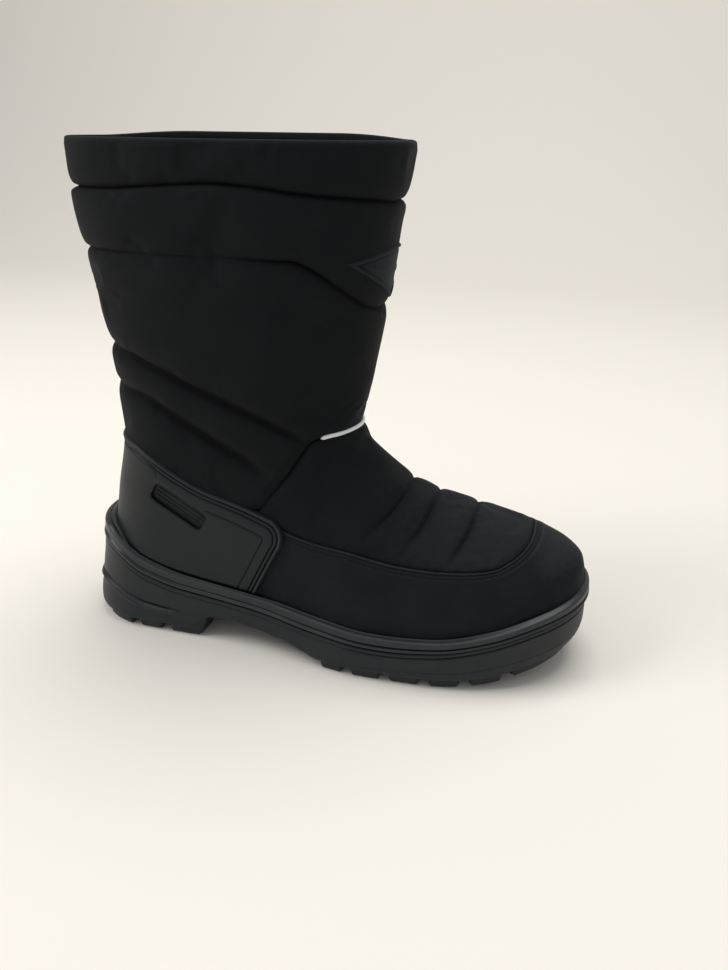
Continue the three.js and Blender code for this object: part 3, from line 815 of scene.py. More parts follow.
def leg_grid(rows=(104, 36, 22), roll_rows=9, facing_rows=6, back_rows=34):
    turns = evened(17.0, LEG_COLUMNS)
    lift = INNER_LIFT * (turns <= 0.5) * smooth(np.abs(turns - 0.25), 0.2, 0.08)
    marks = [crossing(turns, seam, 7, LAST_SECTION) for seam in (ankle_seam, yoke_seam, collar_seam)]
    marks.append(crossing(turns, level(COLLAR_TOP - ROLL + lift), 15, LAST_SECTION))
    s = [mix(marks[i], marks[i + 1], eased(n)[:, None])[:-1] for i, n in enumerate(rows)]
    s = np.concatenate([*s, marks[-1][None]])
    points = skin(s, turns[None])
    height, relief = padding(points[..., 0], points[..., 2])
    out = facing(s, turns[None])
    height = height + settled("leg_sheet", points + out * height[..., None], out, leg_pins(points))
    face = points + out * height[..., None]
    top, top_out, top_height = points[-1], out[-1], height[-1]
    angle = np.linspace(0, math.pi, roll_rows)[1:, None, None]
    wide, high = np.cos(angle), np.sin(angle)
    reach = (top_height - ROLL)[:, None] + ROLL * np.sign(wide) * np.abs(wide) ** ROLL_SQUARE
    roll = top + top_out * (reach - top_height[:, None]) + np.array([0, 0, ROLL]) * high ** ROLL_SQUARE
    roll = roll + top_out * top_height[:, None]
    inside = crossing(turns, level(COLLAR_TOP - FACING + lift), 15, LAST_SECTION)
    down = mix(marks[-1], inside, np.linspace(0, 1, facing_rows + 1)[1:, None])
    facing_cloth = grown(down, turns[None], top_height - 2 * ROLL - 0.3)
    back = mix(inside, marks[0], np.linspace(0, 1, back_rows)[:, None])
    back_cloth = grown(back, turns[None], HIDDEN)
    # The rolled collar edge is painted paler: a painted highlight along its top, where the light catches it.
    rim = np.concatenate([np.full(roll_rows - 1, 0.55), np.zeros(facing_rows + back_rows)])[:, None]
    relief = np.concatenate([relief, np.broadcast_to(rim, (len(rim), LEG_COLUMNS))])
    grid = np.concatenate([face, roll, facing_cloth, back_cloth, face[:1]])
    return grid, np.concatenate([relief, relief[:1]])


def make_leg():
    maker = Maker("padded_leg")
    grid, relief = leg_grid()
    maker.cover(maker.add(grid, relief), *cloth_map(grid))
    return maker.build(softshell, SOFT)


padded_leg = make_leg()

# %% [markdown]
# ## The vamp
# The vamp covers the instep between the toe guard and the ankle seam, quilted by three
# short lines across the foot. Only the part above the guard shows, so its grid reaches a
# little under the guard's edge and no further. The guard's edge itself, the apron seam, is
# a line up the last: a share of the way from the sole to the crown at each distance x.
# %% Apron seam
APRON = table(
    "x share",
    (100, 0.54), (135.6, 0.547), (150.3, 0.557), (174.8, 0.612), (191.4, 0.65), (206.8, 0.683),
    (224.6, 0.72), (237.4, 0.751), (253, 0.80), (260.9, 0.86), (265.8, 0.909), (269.1, 0.955),
    (270.6, 0.985), (271, 1),
)


def section_at(x, along):
    """The section that passes through a distance x at a share of its height."""
    def ahead_of(s):
        return mix(*section(s, "base_x", "crown_x"), along) > x
    return search(ahead_of, np.zeros_like(x), np.full_like(x, HEEL_SECTION), rounds=30)


def apron_line(count):
    """Sections and turns evenly along the inner half of the apron seam, rear to tip."""
    rear, bend, tip = APRON["x"][0], 262.0, APRON["x"][-1]
    round_tip = mix(bend, tip, 1 - (1 - np.linspace(0, 1, 200)) ** 2)
    x = np.concatenate([np.linspace(rear, bend, 300), round_tip[1:]])
    along = read(APRON, "x", "share", x)
    s, turn = section_at(x, along), turn_of(along, True)
    far = lengths(skin(s, turn)[None], 1)[0]
    at = np.linspace(0, far[-1], count)
    return np.interp(at, far, s), np.interp(at, far, turn)


def distance(points, path):
    """Distance from each point to the nearest of a path's close-set points."""
    flat = points.reshape(-1, 3)
    near = np.full(len(flat), 1e9)
    for spot in path:
        near = np.minimum(near, ((flat - spot) ** 2).sum(1))
    return np.sqrt(near).reshape(points.shape[:-1])


apron_s, apron_turn = apron_line(260)
apron_path = np.concatenate([skin(apron_s, apron_turn), skin(apron_s, 1 - apron_turn)[::-1]])
print("apron seam, mm:", round(float(lengths(apron_path[None], 1)[0, -1])))

# %% [markdown]
# The vamp's padding is written like the leg's, with its three quilting lines given over the
# width of the foot instead. Its grid is a sheet: columns across the instep between the two
# hidden edges, rows from near the toe up to the ankle seam. It settles by simulation too.
# %% Vamp cloth
QUILTS = (  # distance x of each quilting line, over distance y from the middle
    table("y x", (0, 199.6), (12, 198.2), (24.6, 194.6), (38.3, 184.8), (44, 178)),
    table("y x", (0, 214.4), (12, 214), (24.8, 212), (38.1, 205.5), (44, 201)),
    table("y x", (0, 237.6), (10, 237.5), (20, 236.6), (33, 232.8), (44, 227)),
)
VAMP_PUFF = 2.0
VAMP_BASE = -1.5
VAMP_FROM, VAMP_TO = 3.0, 12.5  # the sections between which its rear edge is looked for
UNDERLAP = 0.07  # how far it reaches under the guard, as a share of a section's height
APRON_TIP = float(APRON["x"][-1])
vamp_rear = line((90, 5), (96, 15), (100, 40), (108, 70), (117.5, 89.5), (134.5, 111.5), (149.5, 132),
                 (158, 134.3), (230, 136.5))


def apron_share(x, tip=APRON_TIP):
    return read(APRON, "x", "share", np.minimum(x, tip))


def under_guard(s):
    """The share of a section's height at which the vamp's hidden edge crosses it."""
    base_x, crown_x = section(s, "base_x", "crown_x")
    before_tip = APRON_TIP - 0.1
    along = np.minimum(apron_share(mix(base_x, crown_x, 0.62), before_tip), 0.97)
    for _ in range(8):
        seam = apron_share(mix(base_x, crown_x, along), before_tip)
        along = mix(along, np.clip(seam - UNDERLAP, 0.3, 0.9), 0.7)
    return along


def vamp_height(points, to_apron, to_ankle):
    x, across = points[..., 0], np.abs(points[..., 1] - middle(points[..., 0]))
    swell = closing(np.abs(to_ankle) / 6.0, 2.0) * mix(0.35, 1, closing(to_apron / 6.0, 2.0))
    sunk = hollow(to_ankle, 1.0)
    for quilt in QUILTS:
        d = (x - read(quilt, "y", "x", across)) * 0.94
        k = smooth(across, 45, 30) * mix(0.5, 1, smooth(across, 3, 15)) * smooth(to_apron, 1, 7)
        swell = swell * (1 - 0.85 * k * (1 - closing(np.abs(d) / 8.0, 2.0)))
        sunk = np.maximum(sunk, k * hollow(d, 0.9))
    ripple = 0.3 * np.sin(x / 9 + across / 7) * np.sin(across / 12 - x / 21)
    # Towards the toe the puffs are painted paler, a painted highlight where they face the top light; the
    # quilting lines and the ankle seam are painted shade.
    toe_puff_highlight = 0.3 + 0.6 * smooth(x, 175, 240)
    return VAMP_BASE + swell * (VAMP_PUFF + ripple) - 0.75 * sunk, swell * toe_puff_highlight - 1.1 * sunk


def vamp_grid(rows=151, columns=161):
    """Sections and turns of the vamp's points, from the hidden front edge to the ankle seam."""
    across = np.linspace(0, 1, columns)
    tried = np.linspace(VAMP_FROM, VAMP_TO, 260)[:, None]
    edge_turn = turn_of(under_guard(tried), True)
    points = skin(tried, mix(edge_turn, 1 - edge_turn, across[None]))
    s_rear = rising(tried[:, 0], points[..., 2] - vamp_rear(points[..., 0]))
    s = mix(VAMP_FROM, s_rear[None], np.linspace(0, 1, rows)[:, None])
    start = np.interp(s, tried[:, 0], edge_turn[:, 0])
    return s, mix(start, 1 - start, across[None])


def make_vamp():
    s, turn = vamp_grid()
    points = skin(s, turn)
    share_here = (1 - np.cos(2 * math.pi * turn)) / 2
    above = (share_here > apron_share(points[..., 0])) & (points[..., 0] < APRON_TIP)
    to_apron = distance(points, apron_path) * np.where(above, 1, -1)
    to_ankle = beside(vamp_rear, points[..., 0], points[..., 2])
    height, relief = vamp_height(points, to_apron, to_ankle)
    out = facing(s, turn)
    held = np.maximum(smooth(to_apron, 4, 0.5), hollow(to_ankle, SHEET["pinned"]))
    held = np.maximum(held, smooth(relief, 0.0, -0.5))
    height = height + settled("vamp_sheet", points + out * height[..., None], out, held)
    height = np.where(to_apron < 0, VAMP_BASE, height)
    face = points + out * height[..., None]
    maker = Maker("vamp")
    slab(maker, face, thinned(grown(s, turn, HIDDEN), 10, 10), relief)
    return maker.build(softshell, SOFT)


vamp = make_vamp()

# %% [markdown]
# ## The toe guard
# A coated cloth guard wraps the foot from the counter round the toe, its upper edge folded
# and stitched down over the vamp, its lower edge gone under the rim. It is a strip whose
# columns run from the rim up to the apron seam. Along the side they stay on one section,
# and round the toe they fan out from the tip.
# %% Guard
rim_height = line((-8, 66), (10, 65), (24, 58), (42, 49), (65, 42), (95, 38), (125, 35), (160, 31),
                  (195, 29), (225, 30.5), (255, 36.5), (282, 44.5), (306, 50.5))
FAN_FROM = 5.0  # the section where the columns start to fan out
TIP_SECTION = -0.86
TUCK = 6.0  # how far the guard goes down behind the rim
EDGE_ROWS = np.array([0, 0.2, 0.45, 0.75, 1.05, 1.35, 1.65, 1.95, 2.3, 2.7, 3.1, 3.5, 3.9, 4.3, 4.7,
                      5.1, 5.6, 6.1, 6.7, 7.5, 8.5, 10.0])
GUARD_EDGE = table(  # height of the guard over the last, by distance from its folded edge
    "d height",
    (0, -0.9), (0.3, 0.25), (0.8, 0.75), (1.3, 0.7), (1.9, 0.05), (2.4, 0.25), (3.2, 0.5), (4.2, 0.2),
    (5.2, 0.62), (6.4, 0.55), (8, 0.36), (12, 0.35),
)
# Painted highlight on the folded edge and on the outer ridge, painted shade in the groove between them.
GUARD_SHADES = ((0.9, 0.9, 0.7), (1.95, -0.4, 0.5), (5.6, 0.35, 1.0))  # distance, relief, width
STITCH_FROM_EDGE = 4.3


def low_turn(s):
    """The turn, on the inner side, at which a section is at the guard's lower edge."""
    def under_edge(turn):
        point = skin(s, turn)
        return point[..., 2] < rim_height(point[..., 0]) - TUCK
    return search(under_edge, np.zeros_like(s), np.full_like(s, 0.5), rounds=26)


def guard_columns(count):
    """Sections and turns of the lower and upper ends of the guard's inner columns."""
    top_s, top_turn = apron_line(count)
    fan = np.clip((FAN_FROM - top_s) / (FAN_FROM - top_s[-1]), 0, 1)
    last_fan = lengths(skin(top_s, top_turn)[None], 1)[0]
    start = last_fan[np.argmax(fan > 0)]
    fan = np.clip((last_fan - start) / (last_fan[-1] - start), 0, 1)
    low_s = np.where(fan > 0, FAN_FROM - (FAN_FROM - TIP_SECTION) * (1 - (1 - fan) ** 2.0), top_s)
    low = low_turn(np.maximum(low_s, 0))
    low = mix(low, 0.5, smooth(fan, 0.55, 1.0))
    return low_s, low, top_s, top_turn


def make_guard(count=171, rows=34):
    low_s, low, top_s, top_turn = guard_columns(count)
    t = np.linspace(1, 0, 161)[:, None]
    path_s, path_turn = mix(low_s, top_s, t), mix(low, top_turn, t)
    far = lengths(skin(path_s, path_turn), 0)
    s, turn, depth = [], [], []
    for i in range(count):
        below = mix(EDGE_ROWS[-1], far[-1, i], np.linspace(0, 1, rows + 1)[1:])
        d = np.concatenate([EDGE_ROWS, below])[::-1]
        s.append(np.interp(d, far[:, i], path_s[:, i]))
        turn.append(np.interp(d, far[:, i], path_turn[:, i]))
        depth.append(d)
    s, turn, depth = (np.array(v).T for v in (s, turn, depth))
    s, turn, depth = both(s), both(turn, lambda values: 1 - values), both(depth)
    height = read(GUARD_EDGE, "d", "height", depth)
    relief = sum(shade * hollow(depth - d, width) for d, shade, width in GUARD_SHADES)
    points = skin(s, turn)
    # The top of the toe is painted paler: a painted highlight where it faces the top light.
    lit_toe_top = smooth(points[..., 0], 262, 285) * smooth(points[..., 2], 52, 70)
    height = height + 0.25 * np.sin(points[..., 0] / 8 + points[..., 2] / 5) * smooth(depth, 6, 14)
    face = points + facing(s, turn) * height[..., None]
    maker = Maker("toe_guard")
    slab(maker, face, thinned(grown(s, turn, HIDDEN), 5, 10), relief + 0.75 * lit_toe_top)
    stitch_row = int(np.argmin(np.abs(depth[:, 0] - STITCH_FROM_EDGE)))
    return maker.build(coated), face[stitch_row]


toe_guard, guard_stitch_path = make_guard()

# %% [markdown]
# ## The heel counter
# A moulded rubber cup stands off the heel, edged by a border of two beads with grooves
# between them and a step inside. Its grid follows the border: rows parallel to the top
# edge, columns parallel to the front edge, and both squeezed round the corner, so that the
# beads run true without any cutting.
# %% Counter outline
COUNTER_TOP = line((-20, 122.5), (24, 122.3), (36, 122.4), (44, 121.6), (52, 118.4), (61, 113.8),
                   (72, 107.3), (83.6, 101.3), (106.2, 94), (126.6, 86.7), (141, 81.4))
CORNER = np.array([139.8, 81.8])
FRONT_DOWN = np.array([-0.499, -0.866])
CORNER_RADIUS = 15.0
BORDER = 15.0
COUNTER_EDGE = table(
    "d height",
    (0, 0.6), (0.35, 2.4), (0.9, 3.3), (1.6, 3.5), (2.3, 3.1), (2.8, 1.9), (3.3, 2.6), (4.1, 3.05),
    (5.0, 2.75), (5.5, 1.85), (6.2, 2.7), (8, 2.95), (20, 3.0),
)
BORDER_STEPS = np.array([0, 0.18, 0.35, 0.6, 0.9, 1.25, 1.6, 1.95, 2.3, 2.55, 2.8, 3.05, 3.3, 3.7, 4.1, 4.6,
                         5.0, 5.25, 5.5, 5.85, 6.2, 7, 8, 9, 10, 10.8, 11.4, 11.8, 12.1, 12.4, 12.7, 13.1,
                         14, 15])
# Painted highlights on the border's two beads and painted shade in its two grooves.
COUNTER_SHADES = ((1.4, 0.8, 1.0), (2.8, -1.2, 0.5), (4.1, 0.3, 0.7), (5.5, -1.2, 0.5))
STEP_AT = 12.3  # how far in from the edge the panel steps down
FOOT_FRONT, FOOT_LEAN, FOOT_TUCK = 112.8, 0.95, 5.0  # where the front edge meets the rim
COUNTER_BACK = 24.0  # x from which its columns reach the back line
WINDOW = np.array([[56.9, 95.0], [82.1, 79.6]])  # the ends of the window's middle line
WINDOW_CORE, WINDOW_CORNER = 3.2, 3.2  # its half width is their sum, the second being rounded
WINDOW_LENGTH = np.hypot(*(WINDOW[1] - WINDOW[0]))
WINDOW_AHEAD = (WINDOW[1] - WINDOW[0]) / WINDOW_LENGTH
WINDOW_UP = np.array([-WINDOW_AHEAD[1], WINDOW_AHEAD[0]])
STEP_LINE = np.array([[33, 118.6], [41, 117.6], [46.5, 116.1], [50.5, 114.6], [54.0, 112.7], [56.6, 110.5],
                      [58.0, 107.8], [58.2, 104.5]])


def counter_place(depth, run):
    """The side-view place at a depth below the top edge and a run back from the front edge."""
    level = np.minimum(depth, run)
    radius = CORNER_RADIUS - level
    bent = (depth < CORNER_RADIUS) & (run < CORNER_RADIUS)
    span = np.where(bent, CORNER_RADIUS - level, 1.0)
    deep_first = depth <= run
    turned = math.pi / 4 * np.where(deep_first, CORNER_RADIUS - run, CORNER_RADIUS - depth) / span
    wide, narrow = CORNER_RADIUS - radius * np.cos(turned), CORNER_RADIUS - radius * np.sin(turned)
    d = np.where(bent, np.where(deep_first, wide, narrow), depth)
    b = np.where(bent, np.where(deep_first, narrow, wide), run)
    edge_x, edge_z, edge_far = counter_rail
    x, z = np.interp(b, edge_far, edge_x), np.interp(b, edge_far, edge_z)
    slope = np.interp(b, edge_far, counter_slope)
    size = np.hypot(1, slope)
    inward = np.stack([slope / size, -1 / size], -1)
    inward = mix(FRONT_DOWN, inward, smooth(b, 0, 30)[..., None])
    return x, z, inward, d, b


rail_x = np.linspace(CORNER[0], 22.0, 400)
rail_z = COUNTER_TOP(rail_x)
counter_rail = (rail_x, rail_z, lengths(np.stack([rail_x, rail_z], -1)[None], 1)[0])
counter_slope = (COUNTER_TOP(rail_x + 2) - COUNTER_TOP(rail_x - 2)) / 4
COUNTER_RUN = float(np.interp(COUNTER_BACK, rail_x[::-1], counter_rail[2][::-1]))
print("counter's top edge, mm:", round(COUNTER_RUN))


def back_line(z):
    return read(BACK, "z", "x", z)


def counter_grid(columns=200, rows=96):
    """Places, in the side view, of the inner half of the counter: rows up, columns to the back."""
    to_back = 1 - (1 - np.linspace(0, 1, columns)[1:]) ** 1.7
    run = np.concatenate([BORDER_STEPS, mix(BORDER, COUNTER_RUN, to_back)])
    depth = np.concatenate([BORDER_STEPS, BORDER + np.linspace(0, 1, rows)[1:]])[:, None]
    x, z, inward, d, b = counter_place(np.minimum(depth, BORDER), run[None])
    top = np.stack([x, z], -1) + inward * d[..., None]
    level = np.minimum(np.minimum(depth, BORDER), run[None])
    past = np.clip((run - BORDER) / (COUNTER_RUN - BORDER), 0, 1)
    foot_x = mix(FOOT_FRONT - FOOT_LEAN * np.minimum(run, BORDER), back_line(60.0), past)
    foot = np.stack([foot_x, rim_height(foot_x) - FOOT_TUCK], -1)
    share_down = np.clip(depth - BORDER, 0, 1)[..., None]
    place = top + (foot[None] - top) * share_down
    level = np.where(depth > BORDER, np.minimum(run[None], BORDER), level)
    return place[::-1], level[::-1]


def window_distance(x, z):
    """Distance in the side view from the counter's window, negative inside it."""
    place = np.stack([x, z], -1) - WINDOW[0]
    along, off = place @ WINDOW_AHEAD, place @ WINDOW_UP
    beyond = np.maximum(np.maximum(-along, along - WINDOW_LENGTH), 0)
    return np.hypot(beyond, np.maximum(np.abs(off) - WINDOW_CORE, 0)) - WINDOW_CORNER


def line_distance(x, z, corners):
    """Distance in the side view from a bent line, smoothed through its corners."""
    t = np.linspace(0, len(corners) - 1, 160)
    k = np.arange(len(corners))
    near = np.full(np.shape(x), 1e9)
    for px, pz in zip(np.interp(t, k, corners[:, 0]), np.interp(t, k, corners[:, 1])):
        near = np.minimum(near, np.hypot(x - px, z - pz))
    return near


def counter_shape(x, z, level):
    """The counter's height over the last, and its relief, at places of the side view."""
    panel = smooth(level, STEP_AT - 0.5, STEP_AT + 0.5) * smooth(x, 80, 128)
    groove = smooth(x, 84, 88) * hollow(level - STEP_AT, 0.5)
    lip = smooth(window_distance(x, z), 0.9, 0.1)
    step = hollow(line_distance(x, z, STEP_LINE), 0.42)
    foot, beside_heel = smooth(z - rim_height(x), 3.2, 0.2), smooth(x, 14, 50)
    height = (read(COUNTER_EDGE, "d", "height", level) - 0.35 * (panel + lip) - 0.6 * (groove + step)
              - mix(0.4, 1.5, beside_heel) * foot)
    # The relief is painted highlight and shade: the border's beads and grooves, and painted shade in the
    # panel's groove, along the step line and in the gap down against the rim.
    relief = sum(shade * hollow(level - d, width) for d, shade, width in COUNTER_SHADES)
    return height, relief - 0.9 * groove - 1.1 * step - mix(0.4, 1, beside_heel) * foot


def make_counter():
    place, level = counter_grid()
    z = place[..., 1]
    x = np.maximum(place[..., 0], back_line(z))
    s, turn = locate(x, z, np.ones(x.shape, bool))
    turn[:, -1] = 0.0
    height, relief = (both(values)[:, ::-1] for values in counter_shape(x, z, level))
    s, turn = both(s)[:, ::-1], both(turn, lambda values: 1 - values)[:, ::-1]
    maker = Maker("counter_cup")
    slab(maker, grown(s, turn, height), thinned(grown(s, turn, 0.2), 2, 4), relief)
    return maker.build(cup_rubber)


counter_cup = make_counter()

# %% [markdown]
# The window in the counter is a sunk slot. Its outline runs across the grid's lines, so it
# is cut with a boolean: a small stadium-shaped block, whose floor follows the heel, is
# taken out of each side. Three ribs lie on the floor of the slot.
# %% Window and ribs
SLOT_FLOOR = 0.8
RIB_RADIUS = 0.5
RIBS = (-2.6, 0.0, 2.6)


def make_window_block(inner, steps=8):
    """A block the shape of the window, standing on the slot's floor."""
    a, b = WINDOW
    quarter = np.linspace(0, math.pi / 2, steps)
    angle = np.concatenate([quarter + k * math.pi / 2 for k in range(4)])
    out = np.cos(angle)[:, None] * WINDOW_AHEAD + np.sin(angle)[:, None] * WINDOW_UP
    spine = np.repeat([b, a, a, b], steps, axis=0)
    core = spine + np.repeat([1, 1, -1, -1], steps)[:, None] * WINDOW_CORE * WINDOW_UP
    spine, core, out = (np.concatenate([v, v[:1]]) for v in (spine, core, out))
    reach = np.linspace(0, 1, 7)[:, None, None]
    maker = Maker("window_block")
    grids = []
    for draft, height in ((-0.3, SLOT_FLOOR), (0.15, 6.0)):
        place = mix(spine, core + out * (WINDOW_CORNER + draft), reach)
        s, turn = locate(place[..., 0], place[..., 1], np.full(place.shape[:2], inner))
        grids.append(maker.add(grown(s, turn, height)))
    floor_grid, top_grid = grids
    order = slice(None, None, 1 if inner else -1)
    maker.cover(floor_grid[:, order])
    maker.cover(top_grid[::-1, order])
    maker.cover(np.stack([floor_grid[-1], top_grid[-1]])[:, order])
    return maker.build(turn_out=True)


def evaluated(piece, name):
    """The piece with its modifiers worked in, as a plain mesh."""
    whole = piece.evaluated_get(bpy.context.evaluated_depsgraph_get())
    mesh = bpy.data.meshes.new_from_object(whole)
    mesh.name = name
    piece.modifiers.clear()
    return mesh


def cut_windows(cup):
    blocks = [make_window_block(inner) for inner in (True, False)]
    for block in blocks:
        cut = cup.modifiers.new("window", "BOOLEAN")
        cut.operation, cut.solver, cut.object = "DIFFERENCE", "EXACT", block
    cup.data = evaluated(cup, "counter_cup")
    for block in blocks:
        bpy.data.objects.remove(block)
    cup.data.set_sharp_from_angle(angle=math.radians(SHARP))
    print("counter_cup with its windows:", len(cup.data.polygons), "faces")


def tube(maker, path, normal, radius, sides=10, taper=0.0):
    """A round cord along a path, closed at both ends; taper narrows its last millimetres."""
    along = np.gradient(path, axis=0)
    along /= np.linalg.norm(along, axis=1, keepdims=True)
    across = np.cross(along, normal)
    across /= np.linalg.norm(across, axis=1, keepdims=True)
    up = np.cross(across, along)
    far = lengths(path[None], 1)[0]
    left = np.minimum(far, far[-1] - far)
    size = radius * np.maximum(closing(left / max(taper, radius)), 0.02)
    angle = np.linspace(0, 2 * math.pi, sides + 1)
    round_it = np.cos(angle)[:, None, None] * up + np.sin(angle)[:, None, None] * across
    grid = maker.add(path + round_it * size[:, None], 0.3)
    maker.cover(grid, *cloth_map(path + round_it * size[:, None]))
    maker.cap(list(grid[:-1, 0])[::-1])
    maker.cap(list(grid[:-1, -1]))


def make_ribs():
    maker = Maker("counter_ribs")
    reach = WINDOW_AHEAD * (WINDOW_CORNER - 1.5)
    spine = mix(WINDOW[0] - reach, WINDOW[1] + reach, np.linspace(0, 1, 30)[:, None])
    for inner in (True, False):
        for off in RIBS:
            x, z = (spine + WINDOW_UP * off).T
            s, turn = locate(x, z, inner)
            tube(maker, grown(s, turn, SLOT_FLOOR + 0.05), facing(s, turn), RIB_RADIUS, 8)
    return maker.build(cup_rubber)


cut_windows(counter_cup)
counter_ribs = make_ribs()

# %% [markdown]
# ## The sole
# The sole is one moulded shell: a side wall with a thin groove under the rim, a second
# groove and bead low round the heel, and a tread plate beneath. Its rows follow heights
# that are read along the foot, so the wall can rise at the toe and arch while its grooves
# stay parallel to the rim.
# %% Sole rings
groove_height = line((-8, 52.3), (10, 52), (24, 47.8), (42, 38), (65, 31.5), (95, 28.2), (125, 25), (160, 21),
                     (195, 20), (225, 22.5), (255, 28.8), (282, 36.4), (306, 41.5))
side_bottom = line((-8, 7), (66, 7), (80, 11), (94, 16.5), (117, 14.2), (137, 11.5), (150, 8.5), (165, 7),
                   (193, 8.3), (215, 9.8), (235, 11.2), (258, 15.3), (277, 19.5), (297, 24), (306, 26))
shell_bottom = line((-8, 6), (75.5, 6), (78.5, 8.6), (82.5, 13.4), (87, 15.6), (94, 16.5), (117, 14.2),
                    (137, 11.5), (150, 8), (160, 5.8), (225, 5.8), (255, 8.3), (282, 14.3), (306, 20.8))
ground = line((-8, 0), (225, 0), (255, 2.5), (282, 8.5), (306, 15))
foot_floor = line((-8, 30), (42, 30), (65, 29.8), (95, 26), (125, 21.5), (160, 17), (195, 16), (225, 17.5),
                  (255, 21), (282, 25.5), (306, 29))
heel_groove = line((-8, 25.8), (4, 26.7), (12, 28.2), (21, 26.7), (30, 23.2), (41, 19.4), (51, 17.7),
                   (80, 14.5))
SOLE = table(
    "level heel toe grow",
    (0, -3, 297, -1.5), (0.16, -6.2, 302, 1.2), (0.5, -3.5, 304.5, 0.6), (1, 0.7, 304.5, 0),
    (1.35, 1.8, 305.3, 0.9), (1.8, 2.6, 305, 0.5), (2, 5.5, 303, -1.6),
)
SOLE_COLUMNS = 441


def sole_width(x, inner):
    toe = closing((SOLE_LENGTH - x) / (SOLE_LENGTH - toe_from(inner)), TOE_POWER)
    heel = closing(x / (HEEL_WIDTH / 2 + RIM_LEDGE), 2.1)
    return ((BALL_WIDTH / 2) * by_side(PLAN, x, inner) + RIM_LEDGE) * toe * heel


def ring(angle, heel, toe, grow):
    """Plan of a ring of the sole: 0 is the heel, pi the toe, the inner side between them."""
    inner = np.sin(angle) >= -1e-9
    along = (1 - np.cos(angle)) / 2
    x = mix(heel, toe, along)
    wide = sole_width(mix(0, SOLE_LENGTH, along), inner) * (1 + grow / (BALL_WIDTH / 2))
    return x, middle(x) + np.where(inner, wide, -wide)


def side(angle, height_at, out=0.0):
    """Points of the sole's side at a height given over x, moved outwards."""
    x = mix(0, SOLE_LENGTH, (1 - np.cos(angle)) / 2)
    z = height_at(x)
    low, mid, top = ground(x), groove_height(x), rim_height(x)
    level = np.where(z < mid, (z - low) / (mid - low), 1 + (z - mid) / (top - mid))
    heel, toe, grow = (read(SOLE, "level", name, level) for name in ("heel", "toe", "grow"))
    out = out(x, z) if callable(out) else out
    x, y = ring(angle, heel - out, toe + out, grow + out)
    return np.stack([x, y, z + 0 * x], -1)


def inner_ring(angle, height_at, heel=13.5, toe=298.5, grow=-7.0):
    x, y = ring(angle, heel, toe, grow)
    return np.stack([x, y, height_at(x)], -1)


def bridge(maker, row, down):
    """Closes a ring of numbers from side to side."""
    half = (len(row) - 1) // 2
    for k in range(half):
        loop = [row[k], row[k + 1], row[-2 - k], row[-1 - k]]
        maker.cap(loop if down else loop[::-1])


EVERYWHERE, AT_HEEL = (-20, -19), (74, 52)  # x over which a moulded line fades in
MOULDED = (  # a line, how far under it, height, width, where: the beads and grooves of the side
    (groove_height, 2.9, -0.75, 0.42, (22, 50)),
    (heel_groove, 0.0, -2.1, 0.72, AT_HEEL),
    (heel_groove, 2.1, 1.2, 1.2, AT_HEEL),
)
# Painted highlights on the sole's beads and painted shade in its grooves.
SIDE_SHADES = (  # the same for its relief
    (groove_height, 1.5, 0.5, 1.0, EVERYWHERE),
    (groove_height, 2.9, -0.8, 0.5, EVERYWHERE),
    (heel_groove, 1.8, 0.95, 1.0, AT_HEEL),
    (heel_groove, 0.0, -1.5, 0.75, AT_HEEL),
)
TOP_ROUND, BOTTOM_ROUND = 1.3, 0.8  # how far the side's two edges draw in
SIDE_TOP_ROWS = (4.6, 4.0, 3.6, 3.3, 3.1, 2.9, 2.7, 2.5, 2.2, 1.8, 1.4, 1.0, 0.6, 0.3, 0.1, 0.0)


def moulded(rows, x, z):
    """The sum of some beads and grooves that follow lines of the side view."""
    return sum(size * hollow(along(x) - z - under, width) * smooth(x, *fade)
               for along, under, size, width, fade in rows)


def side_shape(x, z):
    """How far the sole's side stands out, from its grooves, beads and rounded edges."""
    from_top, from_bottom = groove_height(x) - z, z - shell_bottom(x)
    edges = TOP_ROUND * (1 - closing(from_top / 1.3)) + BOTTOM_ROUND * (1 - closing(from_bottom / 1.3))
    crease = 0.25 * hollow(z - side_bottom(x), 0.5) * smooth(from_bottom, 0.6, 1.6)
    return moulded(MOULDED, x, z) - edges - crease


def make_sole():
    angle = np.linspace(0, 2 * math.pi, SOLE_COLUMNS)
    rows = [inner_ring(angle, lambda x: shell_bottom(x) + 1.4, 6.0, 290.0, -9.0),
            side(angle, shell_bottom, -4.5)]
    for t in np.linspace(0, 1, 97)[:-1] ** 1.1:
        rows.append(side(angle, lambda x: mix(shell_bottom(x), groove_height(x) - SIDE_TOP_ROWS[0], t),
                         side_shape))
    for d in SIDE_TOP_ROWS:
        rows.append(side(angle, lambda x: groove_height(x) - d, side_shape))
    rows.append(inner_ring(angle, lambda x: groove_height(x) - 0.1))
    rows.append(inner_ring(angle, lambda x: foot_floor(x) - 0.4))
    grid = np.array(rows)
    maker = Maker("sole_shell")
    numbers = maker.add(grid, moulded(SIDE_SHADES, grid[..., 0], grid[..., 2]))
    maker.cover(numbers, *cloth_map(grid))
    bridge(maker, numbers[0], True)
    bridge(maker, numbers[-1], False)
    return maker.build(sole_rubber)


sole_shell = make_sole()

